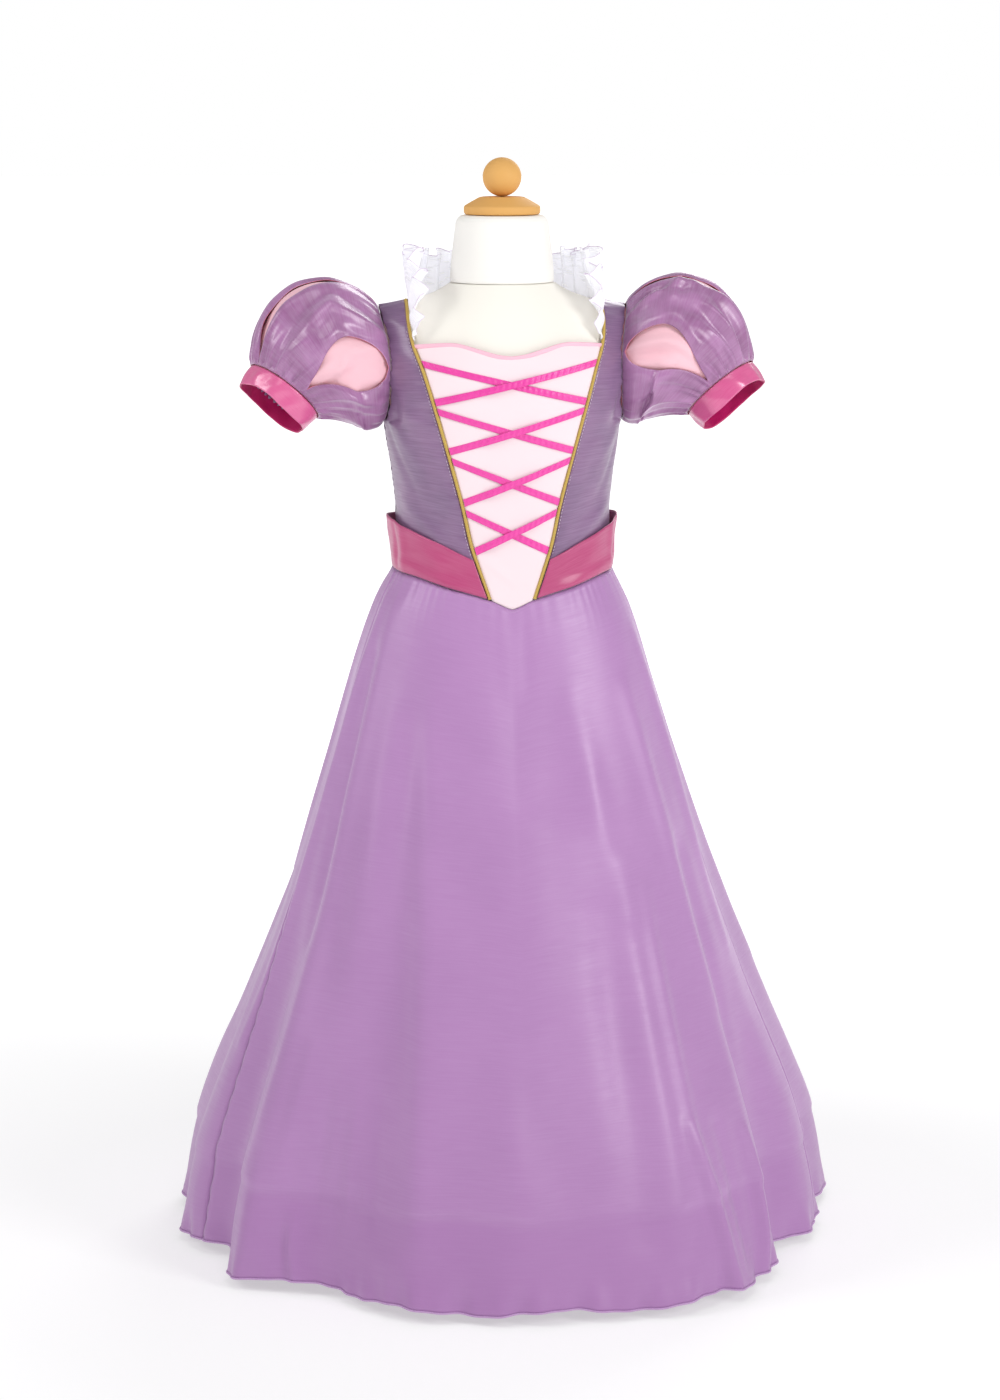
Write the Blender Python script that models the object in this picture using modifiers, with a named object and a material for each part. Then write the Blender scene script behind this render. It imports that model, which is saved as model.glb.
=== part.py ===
"""A child's princess costume dress on a limbless dress form, modelled in Blender 4.5.

Metres, +Z up. The dress faces -Y. The wearer's right side is at -X. The origin is on the floor, under the
pole. Every cloth piece is a thin wall: an open sheet worked out from sections, then Solidify.
"""

import math

import bmesh
import bpy
import numpy as np

COLLECTION = "princess_costume_dress"

# Cloth walls, and the gaps that keep the pieces apart.
SATIN_WALL = 0.0016
LINING_WALL = 0.0010
RUFFLE_WALL = 0.0010
RIBBON_WALL = 0.0011
GAP = 0.0003

# Heights, from the floor.
HEM_Z = 0.012
CHEST_Z = 0.800
UNDERARM_Z = 0.785
NECK_SEAM_Z = 0.910
FORM_BOTTOM_Z = 0.560
FOOT_HEIGHT = 0.016
FOOT_RADIUS = 0.150
POLE_RADIUS = 0.0125

# The form keeps this far inside the outer side of the cloth.
FORM_CLEAR_BODY = 0.0042
FORM_CLEAR_SHOULDER = 0.0022
FORM_ARM_PULL = 0.0040
FORM_LOW_ROWS = (FORM_BOTTOM_Z, 0.600, 0.648, 0.695, 0.735, 0.770)
FORM_HIGH_ROWS = (0.0, 0.17, 0.34, 0.51, 0.68, 0.85, 1.0)

# Corners of the body sections are squarer than an ellipse.
BODY_POWER = 2.4
HEM_POWER = 2.0

# Body sections of the bodice, outer side.
BODY_COLUMNS = ("z", "half_width", "front", "back")
BODY_SECTIONS = (
    (0.550, 0.1145, 0.0990, 0.0960),
    (0.600, 0.1080, 0.0935, 0.0880),
    (0.648, 0.1010, 0.0880, 0.0805),
    (0.695, 0.0985, 0.0862, 0.0790),
    (0.735, 0.1020, 0.0870, 0.0825),
    (0.785, 0.1095, 0.0882, 0.0860),
    (0.820, 0.1130, 0.0882, 0.0862),
    (0.860, 0.1160, 0.0875, 0.0855),
    (0.900, 0.1180, 0.0870, 0.0850),
)

# Height of the top line of the body above each half width: neck root, shoulder, shoulder end.
RIDGE_COLUMNS = ("x", "z")
RIDGE = (
    (0.000, 0.9320),
    (0.015, 0.9300),
    (0.030, 0.9225),
    (0.048, 0.9100),
    (0.060, 0.9045),
    (0.075, 0.8990),
    (0.089, 0.8945),
    (0.120, 0.8885),
)

# The waist seam drops to a point in front. The angle runs from the front, 0, to the back, 180.
WAIST_COLUMNS = ("angle", "z")
WAIST = (
    (0.0, 0.6200),
    (8.4, 0.6285),
    (38.0, 0.6415),
    (56.0, 0.6465),
    (90.0, 0.6480),
    (180.0, 0.6460),
)

# The piping runs from the shoulder, down both sides of the stomacher, to the point.
PIPING_COLUMNS = ("z", "x")
PIPING = (
    (0.6280, 0.0200),
    (0.6750, 0.0358),
    (0.7150, 0.0448),
    (0.7630, 0.0577),
    (0.8050, 0.0697),
    (0.8350, 0.0785),
    (0.8570, 0.0862),
    (0.8760, 0.0892),
    (0.8950, 0.0890),
)
PIPING_RADIUS = 0.0015
PIPING_SEAM = 0.0022
PIPING_TOP_PHI = 86.0

# Each side of the shoulder seam stops this far short of the top line.
SHOULDER_SEAM = 0.0006

# Top edge of the stomacher.
SWEETHEART_COLUMNS = ("x", "z")
SWEETHEART = (
    (0.000, 0.8470),
    (0.012, 0.8485),
    (0.030, 0.8535),
    (0.048, 0.8580),
    (0.065, 0.8578),
    (0.095, 0.8550),
)

# Rows of the bodice panels: shares of the way from waist to chest, then from the chest over the shoulder.
BODICE_LOW_ROWS = (0.0, 0.22, 0.45, 0.68, 0.90)
BODICE_HIGH_ROWS = (0.0, 0.17, 0.34, 0.51, 0.68, 0.85, 1.0)

# Front and back edges of the armhole.
ARMHOLE_COLUMNS = ("z", "x")
ARMHOLE = (
    (0.785, 0.1095),
    (0.792, 0.1075),
    (0.805, 0.1060),
    (0.835, 0.1045),
    (0.860, 0.1070),
    (0.880, 0.1115),
    (0.895, 0.1150),
)

# The back neckline, from the centre back to the strap.
BACK_NECK_COLUMNS = ("x", "z")
BACK_NECK = (
    (0.000, 0.8820),
    (0.030, 0.8835),
    (0.060, 0.8880),
    (0.080, 0.8925),
)
STRAP_INNER_X = 0.0880

# Lacing: four crosses. Each row gives the ribbon's two ends on the piping.
LACING_COLUMNS = ("upper_z", "lower_z")
LACING = (
    (0.8405, 0.8068),
    (0.7985, 0.7630),
    (0.7540, 0.7165),
    (0.7070, 0.6725),
)
RIBBON_WIDTH = 0.0062

# The sash: upper and lower edges by angle, and how far it stands off the bodice.
SASH_COLUMNS = ("angle", "top_z", "stand_off")
SASH = (
    (12.0, 0.6615, 0.0006),
    (35.0, 0.6780, 0.0010),
    (60.0, 0.6890, 0.0022),
    (82.0, 0.6955, 0.0060),
    (92.0, 0.6965, 0.0072),
    (110.0, 0.6945, 0.0040),
    (140.0, 0.6920, 0.0012),
    (180.0, 0.6910, 0.0008),
)

# Skirt sections, by the share of the way from the waist seam to the hem.
SKIRT_COLUMNS = ("down", "half_width", "front", "back")
SKIRT = (
    (0.00, 0.1010, 0.0895, 0.0805),
    (0.05, 0.1160, 0.0990, 0.0970),
    (0.12, 0.1310, 0.1110, 0.1180),
    (0.21, 0.1480, 0.1270, 0.1420),
    (0.30, 0.1650, 0.1420, 0.1650),
    (0.39, 0.1815, 0.1580, 0.1880),
    (0.48, 0.1985, 0.1735, 0.2100),
    (0.57, 0.2180, 0.1890, 0.2320),
    (0.66, 0.2390, 0.2050, 0.2540),
    (0.75, 0.2600, 0.2210, 0.2760),
    (0.85, 0.2810, 0.2380, 0.2990),
    (0.93, 0.2930, 0.2510, 0.3150),
    (1.00, 0.2990, 0.2620, 0.3280),
)
SKIRT_ROWS = (1.0, 0.92, 0.82, 0.70, 0.57, 0.44, 0.31, 0.18, 0.07, 0.0)
SKIRT_SIDE_ANGLE = 82.0

# The rims of curved panels lean, so this gap leaves 0.3 mm at their inner edges.
PANEL_SEAM = 0.0009

# The largest folds of the skirt, from the wearer's right (minus) to the left. Depth is at the hem.
FOLD_COLUMNS = ("angle", "half_width", "depth", "starts_at", "drift")
FOLDS = (
    (-158.0, 18.0, 0.018, 0.22, 0.0),
    (-138.0, 15.0, -0.030, 0.18, 4.0),
    (-114.0, 17.0, 0.026, 0.12, 6.0),
    (-92.0, 9.0, 0.006, 0.20, 2.0),
    (-74.0, 13.0, -0.027, 0.30, 3.0),
    (-57.0, 6.0, 0.012, 0.72, 2.0),
    (-41.0, 22.0, -0.034, 0.36, 5.0),
    (-12.0, 10.0, -0.005, 0.50, 0.0),
    (28.0, 22.0, 0.014, 0.40, -4.0),
    (41.0, 6.0, 0.009, 0.76, -2.0),
    (65.0, 14.0, -0.034, 0.48, -4.0),
    (84.0, 8.0, 0.006, 0.30, -2.0),
    (106.0, 17.0, 0.042, 0.14, -6.0),
    (130.0, 15.0, -0.030, 0.18, -4.0),
    (152.0, 15.0, 0.020, 0.20, 0.0),
    (176.0, 14.0, -0.028, 0.16, 0.0),
)

# The lining hangs inside the skirt and ends above its hem.
LINING_ROWS = (0.865, 0.72, 0.57, 0.38, 0.18, 0.07, 0.012)
LINING_COLUMNS = 41
LINING_GAP_TOP = 0.0024
LINING_GAP_LOW = 0.0090

# The neck ruffle stands on the neck edge. The path runs from the front corner, 0, to the centre back, 1.
RUFFLE_COLUMNS = ("along", "height", "wave")
RUFFLE = (
    (0.00, 0.004, 0.0010),
    (0.10, 0.016, 0.0030),
    (0.22, 0.034, 0.0060),
    (0.36, 0.043, 0.0080),
    (0.52, 0.045, 0.0080),
    (0.75, 0.047, 0.0070),
    (1.00, 0.046, 0.0060),
)
RUFFLE_WAVES = 24
RUFFLE_STEPS = 4

# Puff sleeves. Radii by the share of the way from the armhole to the cuff.
PUFF_COLUMNS = ("along", "upright", "depth")
PUFF = (
    (0.00, 0.0545, 0.0440),
    (0.05, 0.0600, 0.0500),
    (0.12, 0.0655, 0.0560),
    (0.25, 0.0700, 0.0615),
    (0.40, 0.0715, 0.0640),
    (0.55, 0.0700, 0.0640),
    (0.70, 0.0645, 0.0605),
    (0.82, 0.0565, 0.0545),
    (0.92, 0.0470, 0.0465),
    (1.00, 0.0385, 0.0385),
)
PUFF_ROWS = (0.0, 0.03, 0.10, 0.21, 0.34, 0.48, 0.62, 0.76, 0.88, 0.96, 1.0)
UNDER_PUFF_ROWS = (0.0, 0.10, 0.21, 0.34, 0.48, 0.62, 0.76, 0.88, 1.0)
PUFF_GATHERS = 8

# The first part of the sleeve turns from the armhole's own line into a round puff.
ARMHOLE_BLEND = 0.30
ARMHOLE_SEAM = 0.0016
PUFF_GATHER_DEPTH = 0.0022

# How far the pink puff lies inside the slashed one.
UNDER_PUFF_COLUMNS = ("along", "inset")
UNDER_PUFF = (
    (0.00, 0.0030),
    (0.05, 0.0056),
    (0.50, 0.0070),
    (0.95, 0.0056),
    (1.00, 0.0030),
)
CUFF_WIDTH = 0.0185
CUFF_SEAM = 0.0013
CUFF_RADIUS = 0.0378
CUFF_END_RADIUS = 0.0352

# Each sleeve as it hangs. Angles run round the sleeve from its top, 0, through the front, 90, to the bottom.
# A slash is its angle, half its opening in degrees, and where along it it is widest.
SLEEVES = {
    "right": {
        "side": -1.0,
        "armhole": (0.1195, 0.000, 0.8395),
        "middle": (0.1660, 0.001, 0.8600),
        "cuff": (0.2010, -0.018, 0.8130),
        "facing": (0.62, -0.26, -0.74),
        "slashes": {"top": (4.0, 5.0, 0.45), "front": (96.0, 20.0, 0.30), "back": (268.0, 12.0, 0.42)},
    },
    "left": {
        "side": 1.0,
        "armhole": (0.1195, 0.000, 0.8395),
        "middle": (0.1600, 0.001, 0.8640),
        "cuff": (0.2010, -0.016, 0.8120),
        "facing": (0.58, -0.34, -0.74),
        "slashes": {"top": (8.0, 6.0, 0.45), "front": (88.0, 13.0, 0.40), "back": (270.0, 12.0, 0.42)},
    },
}
BOTTOM_SEAM = 186.0

# Turned wooden parts and the neck of the form, as radius and height down the outer side.
KNOB_RADIUS = 0.0177
KNOB_Z = 1.0050
CAP_PROFILE = ((0.0000, 0.9872), (0.0195, 0.9872), (0.0225, 0.9858), (0.0335, 0.9796), (0.0350, 0.9775))
CAP_EDGE = ((0.0350, 0.9735), (0.0338, 0.9714), (0.0000, 0.9714))
NECK_TOP = ((0.0000, 0.9708), (0.0340, 0.9708), (0.0395, 0.9690), (0.0425, 0.9645), (0.0436, 0.9560))
NECK_FOOT = ((0.0455, 0.9400), (0.0470, 0.9250), (0.0478, 0.9106), (0.0000, 0.9106))

COLOURS = {
    "jersey": (0.90, 0.87, 0.80, 0.75),
    "linen": (0.91, 0.89, 0.85, 0.70),
    "beech": (0.72, 0.39, 0.11, 0.30),
    "steel": (0.62, 0.62, 0.64, 0.35),
    "lilac_satin": (0.47, 0.25, 0.52, 0.38),
    "purple_satin": (0.34, 0.20, 0.42, 0.36),
    "pink_taffeta": (0.90, 0.55, 0.62, 0.42),
    "pale_pink": (0.90, 0.74, 0.78, 0.55),
    "hot_pink": (0.70, 0.09, 0.28, 0.32),
    "ribbon_pink": (0.82, 0.06, 0.34, 0.35),
    "rose_satin": (0.58, 0.08, 0.24, 0.34),
    "gold_cord": (0.55, 0.38, 0.09, 0.40),
    "white_voile": (0.87, 0.87, 0.94, 0.80),
    "lining": (0.50, 0.34, 0.56, 0.60),
}


def clear_scene():
    """Remove whatever the file holds."""
    for obj in list(bpy.data.objects):
        bpy.data.objects.remove(obj)


def make_collection(name):
    """Add a collection to the scene."""
    collection = bpy.data.collections.new(name)
    bpy.context.scene.collection.children.link(collection)
    return collection


def make_material(name):
    """A Principled material from the colour table."""
    red, green, blue, roughness = COLOURS[name]
    material = bpy.data.materials.new(name)
    material.use_nodes = True
    shader = material.node_tree.nodes["Principled BSDF"]
    shader.inputs["Base Color"].default_value = (red, green, blue, 1.0)
    shader.inputs["Roughness"].default_value = roughness
    shader.inputs["Metallic"].default_value = 1.0 if name == "steel" else 0.0
    return material


def read(table, key, column=1):
    """Smooth value of one column of a table at a key: cubic through the rows, flat past the ends."""
    keys = [row[0] for row in table]
    values = [row[column] for row in table]
    if key <= keys[0]:
        return values[0]
    if key >= keys[-1]:
        return values[-1]
    i = int(np.searchsorted(keys, key, side="right")) - 1
    slopes = []
    for k in (i, i + 1):
        low = max(k - 1, 0)
        high = min(k + 1, len(keys) - 1)
        slopes.append((values[high] - values[low]) / (keys[high] - keys[low]))
    step = keys[i + 1] - keys[i]
    t = (key - keys[i]) / step
    start = (1 + 2 * t) * (1 - t) ** 2 * values[i] + t * (1 - t) ** 2 * step * slopes[0]
    end = t * t * (3 - 2 * t) * values[i + 1] + t * t * (t - 1) * step * slopes[1]
    return start + end


def mix(a, b, t):
    """Straight blend from a to b."""
    return a + (b - a) * t


def smooth_step(t):
    """Ease from 0 to 1."""
    t = min(max(t, 0.0), 1.0)
    return t * t * (3.0 - 2.0 * t)


def section(angle, half_width, front, back, power):
    """Plan position at an angle from the front, on a section with squarer corners than an ellipse."""
    turn = math.radians(angle)
    across = math.copysign(abs(math.sin(turn)) ** (2.0 / power), math.sin(turn))
    along = math.copysign(abs(math.cos(turn)) ** (2.0 / power), math.cos(turn))
    depth = front if along > 0 else back
    return half_width * across, -depth * along


def body_angle(x, z):
    """The section angle, on the front, of the point at half width x."""
    share = min(x / read(BODY_SECTIONS, z, 1), 1.0)
    return math.degrees(math.asin(share ** (BODY_POWER / 2.0)))


def ridge_rise(x):
    """Height of the body's top line above the chest."""
    return read(RIDGE, abs(x)) - CHEST_Z


def body_at(angle, z):
    """Outer side of the bodice at a section angle and a height."""
    x, y = section(angle, *(read(BODY_SECTIONS, z, column) for column in (1, 2, 3)), BODY_POWER)
    if z > CHEST_Z:
        share = min((z - CHEST_Z) / ridge_rise(x), 1.0)
        y *= math.sqrt(1.0 - share * share)
    return np.array((x, y, z))


def shoulder_at(angle, phi):
    """Outer side of the bodice above the chest, by the angle phi from the chest, 0, to the top line, 90."""
    rise = math.sin(math.radians(phi))
    z = CHEST_Z + rise * (RIDGE[-1][1] - CHEST_Z)
    for _ in range(5):
        x, y = section(angle, *(read(BODY_SECTIONS, z, column) for column in (1, 2, 3)), BODY_POWER)
        z = CHEST_Z + ridge_rise(x) * rise
    return np.array((x, y * math.cos(math.radians(phi)), z))


def shoulder_line(edge, phi):
    """The point at an angle phi on a line whose section angle is given by its height."""
    z = CHEST_Z + math.sin(math.radians(phi)) * (read(RIDGE, 0.1) - CHEST_Z)
    for _ in range(8):
        point = shoulder_at(edge(z), phi)
        z = point[2]
    return point


def shoulder_phi(angle, z):
    """The angle phi at which the body reaches a height."""
    x = body_at(angle, z)[0]
    return math.degrees(math.asin(min((z - CHEST_Z) / ridge_rise(x), 1.0)))


def outward(point_at, u, v, step=0.05, drop=0.0005):
    """Unit normal of a surface of two values, away from the pole."""
    across = point_at(u + step, v) - point_at(u - step, v)
    down = point_at(u, v - drop) - point_at(u, v + drop)
    normal = np.cross(across, down)
    normal /= np.linalg.norm(normal)
    here = point_at(u, v)
    return normal if normal @ np.array((here[0], here[1], 0.03)) > 0 else -normal


class Workshop:
    """Makes the named objects, each with its material, in one collection."""

    def __init__(self):
        self.collection = make_collection(COLLECTION)
        self.materials = {name: make_material(name) for name in COLOURS}

    def add(self, name, data, colour):
        """Link a new object that holds this mesh or curve."""
        obj = bpy.data.objects.new(name, data)
        data.materials.append(self.materials[colour])
        self.collection.objects.link(obj)
        return obj

    def mesh(self, name, build, colour, smooth=True):
        """An object whose mesh is filled in by a function of a bmesh."""
        bm = bmesh.new()
        build(bm)
        mesh = bpy.data.meshes.new(name)
        bm.to_mesh(mesh)
        bm.free()
        if smooth:
            mesh.shade_smooth()
            mesh.set_sharp_from_angle(angle=math.radians(50))
        return self.add(name, mesh, colour)

    def sheet(self, name, grids, colour, wall, closed=False):
        """Cloth: one or more grids of points joined along shared edges, given a wall inward of them."""

        def build(bm):
            for rows in grids:
                loft(bm, rows, closed)
            bmesh.ops.remove_doubles(bm, verts=bm.verts, dist=1e-6)

        obj = self.mesh(name, build, colour)
        solid = obj.modifiers.new("Wall", "SOLIDIFY")
        solid.thickness = wall
        solid.offset = -1.0
        solid.use_even_offset = False
        return obj

    def turned(self, name, profile, colour, steps=28):
        """A turned piece: its profile, down the outer side, and a Screw."""

        def build(bm):
            verts = [bm.verts.new((radius, 0.0, z)) for radius, z in profile]
            for a, b in zip(verts, verts[1:]):
                bm.edges.new((a, b))

        obj = self.mesh(name, build, colour, smooth=False)
        screw = obj.modifiers.new("Turn", "SCREW")
        screw.steps = steps
        screw.render_steps = steps
        screw.use_merge_vertices = True
        screw.merge_threshold = 1e-5
        screw.use_smooth_shade = True
        return obj

    def cord(self, name, points, radius, colour):
        """A round cord along a list of points, with closed ends."""
        curve = bpy.data.curves.new(name, "CURVE")
        curve.dimensions = "3D"
        curve.bevel_depth = radius
        curve.bevel_resolution = 2
        curve.use_fill_caps = True
        spline = curve.splines.new("POLY")
        spline.points.add(len(points) - 1)
        for knot, place in zip(spline.points, points):
            knot.co = (*place, 1.0)
        return self.add(name, curve, colour)


def loft(bm, rows, closed=False):
    """Quads between rows of points that run the same way, facing away from the inside."""
    verts = [[bm.verts.new(point) for point in row] for row in rows]
    for low, high in zip(verts, verts[1:]):
        count = len(low)
        for j in range(count if closed else count - 1):
            k = (j + 1) % count
            bm.faces.new((low[j], low[k], high[k], high[j]))


def waist_z(angle):
    """Height of the waist seam at an angle from the front."""
    return read(WAIST, abs(angle))


def edge_angle(angle, z, move):
    """A section angle moved along the body's surface by a distance in metres."""
    level = min(z, 0.870)
    degree = np.linalg.norm(body_at(angle + 0.5, level) - body_at(angle - 0.5, level))
    return angle + move / degree


def shoulder_end(angle):
    """The angle phi at which a panel stops, just short of the top line."""
    depth = abs(section(angle, 1.0, 0.087, 0.086, BODY_POWER)[1])
    return math.degrees(math.acos(min(SHOULDER_SEAM / max(depth, 0.002), 1.0)))


def bodice_rows(inner, top_phi, back=False, columns=8):
    """Rows of a bodice panel, waist first. inner gives the section angle of its inner edge by height."""
    rows = []

    def at(share):
        def edge(z):
            angle = mix(inner(z), edge_angle(armhole_angle(z), z, -GAP / 2), share)
            return 180.0 - angle if back else angle

        return edge

    for up in BODICE_LOW_ROWS:
        row = []
        for j in range(columns):
            edge = at(j / (columns - 1))
            z = mix(waist_z(90.0), CHEST_Z, up)
            for _ in range(8):
                z = mix(waist_z(edge(z)) + GAP, CHEST_Z, up)
            row.append(body_at(edge(z), z))
        rows.append(row)
    for up in BODICE_HIGH_ROWS:
        row = []
        for j in range(columns):
            edge = at(j / (columns - 1))
            end = edge(0.890)
            phi = top_phi(180.0 - end if back else end) * up
            row.append(shoulder_line(edge, phi))
        rows.append(row)
    return rows


def armhole_angle(z):
    """Section angle of the armhole's edge, or of the side seam below it."""
    if z <= UNDERARM_Z:
        return 90.0
    return body_angle(read(ARMHOLE, z) - GAP, z)


def piping_angle(z):
    """Section angle of the piping."""
    return body_angle(read(PIPING, z), z)


def mirrored(rows):
    """The same grid on the other side, with its columns turned round so that it still faces out."""
    flipped = []
    for row in rows:
        flipped.append([np.array((-p[0], p[1], p[2])) for p in reversed(list(row))])
    return flipped


def back_neck_phi(angle):
    """The angle phi of the back panel's top edge: the neckline, then the shoulder seam."""
    x = section(angle, 0.1165, 1.0, 1.0, BODY_POWER)[0]
    if x > STRAP_INNER_X:
        return shoulder_end(angle)
    return shoulder_phi(angle, read(BACK_NECK, x))


def build_bodice(shop):
    """Front and back bodice panels, the stomacher, the piping and the lacing."""

    def beside_piping(z):
        return edge_angle(piping_angle(z), z, PIPING_SEAM)

    def centre_back(z):
        return edge_angle(0.0, z, GAP / 2)

    front = bodice_rows(beside_piping, shoulder_end)
    shop.sheet("bodice_front_left", [front], "purple_satin", SATIN_WALL)
    shop.sheet("bodice_front_right", [mirrored(front)], "purple_satin", SATIN_WALL)
    back = bodice_rows(centre_back, back_neck_phi, back=True, columns=10)
    back = [list(reversed(row)) for row in back]
    shop.sheet("bodice_back_left", [back], "purple_satin", SATIN_WALL)
    shop.sheet("bodice_back_right", [mirrored(back)], "purple_satin", SATIN_WALL)
    build_stomacher(shop)
    for side_name, sign in (("left", 1.0), ("right", -1.0)):
        shop.cord(f"piping_{side_name}", piping_points(sign), PIPING_RADIUS, "gold_cord")
    build_lacing(shop)
    return back


def build_stomacher(shop):
    """The pale panel in the middle of the front, with its sweetheart top."""
    columns = 13
    levels = 9
    rows = []
    for i in range(levels):
        row = []
        for j in range(columns):
            side = mix(-1.0, 1.0, j / (columns - 1))
            z = mix(0.62, 0.85, i / (levels - 1))
            for _ in range(8):
                limit = edge_angle(piping_angle(z), z, -PIPING_SEAM)
                angle = side * limit
                top = read(SWEETHEART, abs(body_at(angle, min(z, 0.86))[0]))
                z = mix(waist_z(angle) + GAP, top, i / (levels - 1))
            row.append(body_at(angle, z))
        rows.append(row)
    shop.sheet("stomacher", [rows], "pale_pink", SATIN_WALL)


def piping_points(sign, count=20):
    """Places along the piping, from the point up to the shoulder, on one side."""
    points = []
    low = 11
    turn_z = CHEST_Z + 0.03
    for i in range(low):
        z = mix(PIPING[0][0] + 0.001, turn_z, i / low)
        points.append(body_at(piping_angle(z), z))
    start = shoulder_phi(piping_angle(turn_z), turn_z)
    for i in range(count - low + 1):
        points.append(shoulder_line(piping_angle, mix(start, PIPING_TOP_PHI, i / (count - low))))
    return [(sign * p[0], p[1], p[2]) for p in points]


def ribbon_rows(start_z, end_z, lift, sign, steps=13):
    """A flat ribbon across the stomacher, from one piping to the other, lifted off it."""
    edge = PIPING_RADIUS + 2.0 * GAP
    slope = math.atan2(start_z - end_z, read(PIPING, start_z) + read(PIPING, end_z))
    rows = []
    for side in (-0.5, 0.5):
        rise = side * RIBBON_WIDTH / math.cos(slope)
        start_x = read(PIPING, start_z + rise) - edge * 1.25
        end_x = -(read(PIPING, end_z + rise) - edge * 1.25)
        row = []
        for i in range(steps):
            t = i / (steps - 1)
            x = mix(start_x, end_x, t)
            z = mix(start_z, end_z, t) + rise
            angle = body_angle(abs(x), z) * math.copysign(1.0, x)
            row.append(body_at(angle, z) + outward(body_at, angle, z) * lift(x))
        rows.append(row)
    if sign > 0:
        return [list(reversed(row)) for row in rows]
    return [[np.array((-p[0], p[1], p[2])) for p in row] for row in rows]


def build_lacing(shop):
    """Four crosses of ribbon. The upper ribbon of each cross rises over the lower one."""
    flat = RIBBON_WALL + GAP

    def over(x):
        return flat + (RIBBON_WALL + 2.0 * GAP) * smooth_step((0.032 - abs(x)) / 0.015)

    for number, (upper_z, lower_z) in enumerate(LACING, 1):
        upper = ribbon_rows(upper_z, lower_z, over, 1.0)
        shop.sheet(f"lace_{number}_over", [upper], "ribbon_pink", RIBBON_WALL)
        lower = ribbon_rows(upper_z, lower_z, lambda x: flat, -1.0)
        shop.sheet(f"lace_{number}_under", [lower], "ribbon_pink", RIBBON_WALL)


def sash_rows():
    """The sash from beside the piping, round the side, to the centre back."""
    columns = 22
    heights = (0.0, 0.5, 1.0)
    rows = []
    for share in heights:
        row = []
        for j in range(columns):
            along = j / (columns - 1)
            beside = mix(0.6300, 0.6640, share)
            start = edge_angle(piping_angle(beside), beside, PIPING_SEAM)
            angle = mix(start, edge_angle(180.0, beside, -GAP), along)
            bottom = waist_z(angle) + 0.0012
            z = mix(bottom, read(SASH, angle, 1), share)
            stand_off = SATIN_WALL + GAP + read(SASH, angle, 2) * share
            row.append(body_at(angle, z) + outward(body_at, angle, z) * stand_off)
        rows.append(row)
    return rows


def build_sash(shop):
    """The sash, one band for each side."""
    rows = sash_rows()
    shop.sheet("sash_left", [rows], "rose_satin", SATIN_WALL)
    shop.sheet("sash_right", [mirrored(rows)], "rose_satin", SATIN_WALL)


def fold_depth(angle, down):
    """How far the folds move the skirt out, at an angle and a share of the way down."""
    total = 0.0
    for centre, half_width, depth, starts_at, drift in FOLDS:
        away = abs((angle - centre - drift * (1.0 - down) + 180.0) % 360.0 - 180.0) / half_width
        if away < 1.0:
            deep = depth * smooth_step((down - starts_at) / (1.0 - starts_at))
            total += deep * math.cos(math.pi / 2 * away) ** 2
    return total


def skirt_at(angle, down, inset=0.0):
    """Outer side of the skirt, less an inset, at an angle and a share of the way from waist to hem."""
    top = waist_z(angle) - GAP
    z = mix(top, HEM_Z, down)
    power = mix(BODY_POWER, HEM_POWER, min(down * 2.0, 1.0))
    start = body_at(angle, top)
    x, y = section(angle, *(read(SKIRT, down, column) for column in (1, 2, 3)), power)
    x0, y0 = section(angle, *(read(SKIRT, 0.0, column) for column in (1, 2, 3)), BODY_POWER)
    join = 1.0 - smooth_step(down / 0.12)
    x += (start[0] - x0) * join
    y += (start[1] - y0) * join
    reach = math.hypot(x, y)
    grow = 1.0 + (fold_depth(angle, down) - inset) / reach
    return np.array((x * grow, y * grow, z))


def skirt_rows(start, end, columns, downs=SKIRT_ROWS, inset=lambda down: 0.0):
    """Rows of a skirt panel, hem first, between two seam angles."""
    rows = []
    for down in downs:
        half = math.degrees(PANEL_SEAM / 2 / read(SKIRT, down, 1))
        row = []
        for j in range(columns):
            angle = mix(start + half, end - half, j / (columns - 1))
            row.append(skirt_at(angle, down, inset(down)))
        rows.append(row)
    return rows


def build_skirt(shop):
    """Front and back skirt panels, and the lining."""
    side = SKIRT_SIDE_ANGLE
    shop.sheet("skirt_front", [skirt_rows(-side, side, 31)], "lilac_satin", SATIN_WALL)
    shop.sheet("skirt_back_left", [skirt_rows(side, 180.0, 18)], "lilac_satin", SATIN_WALL)
    shop.sheet("skirt_back_right", [skirt_rows(-180.0, -side, 18)], "lilac_satin", SATIN_WALL)

    def inset(down):
        return mix(LINING_GAP_TOP, LINING_GAP_LOW, smooth_step(down / 0.25))

    rows = [row[:-1] for row in skirt_rows(-180.0, 180.0, LINING_COLUMNS, LINING_ROWS, inset)]
    shop.sheet("skirt_lining", [rows], "lining", LINING_WALL, closed=True)


def neck_edge(back):
    """The neck edge on the left, from the front corner, over the shoulder, to the centre back."""

    def inside_piping(z):
        return edge_angle(piping_angle(z), z, -PIPING_SEAM - RUFFLE_WALL)

    corner = read(SWEETHEART, 0.085)
    start = shoulder_phi(piping_angle(corner), corner) + 3.0
    front = [shoulder_line(inside_piping, mix(start, 88.0, i / 8)) for i in range(9)]
    rest = [point for point in back[-1] if point[0] < front[-1][0] - 0.004]
    return [np.array(point) for point in front + sorted(rest, key=lambda point: -point[0])]


def along_path(points, count):
    """Evenly spaced places along a path, eased through its points."""
    path = np.array(points)
    lengths = np.concatenate(([0.0], np.cumsum(np.linalg.norm(np.diff(path, axis=0), axis=1))))
    where = np.linspace(0.0, lengths[-1], count)
    return np.stack([np.interp(where, lengths, path[:, k]) for k in range(3)], axis=1)


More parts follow.
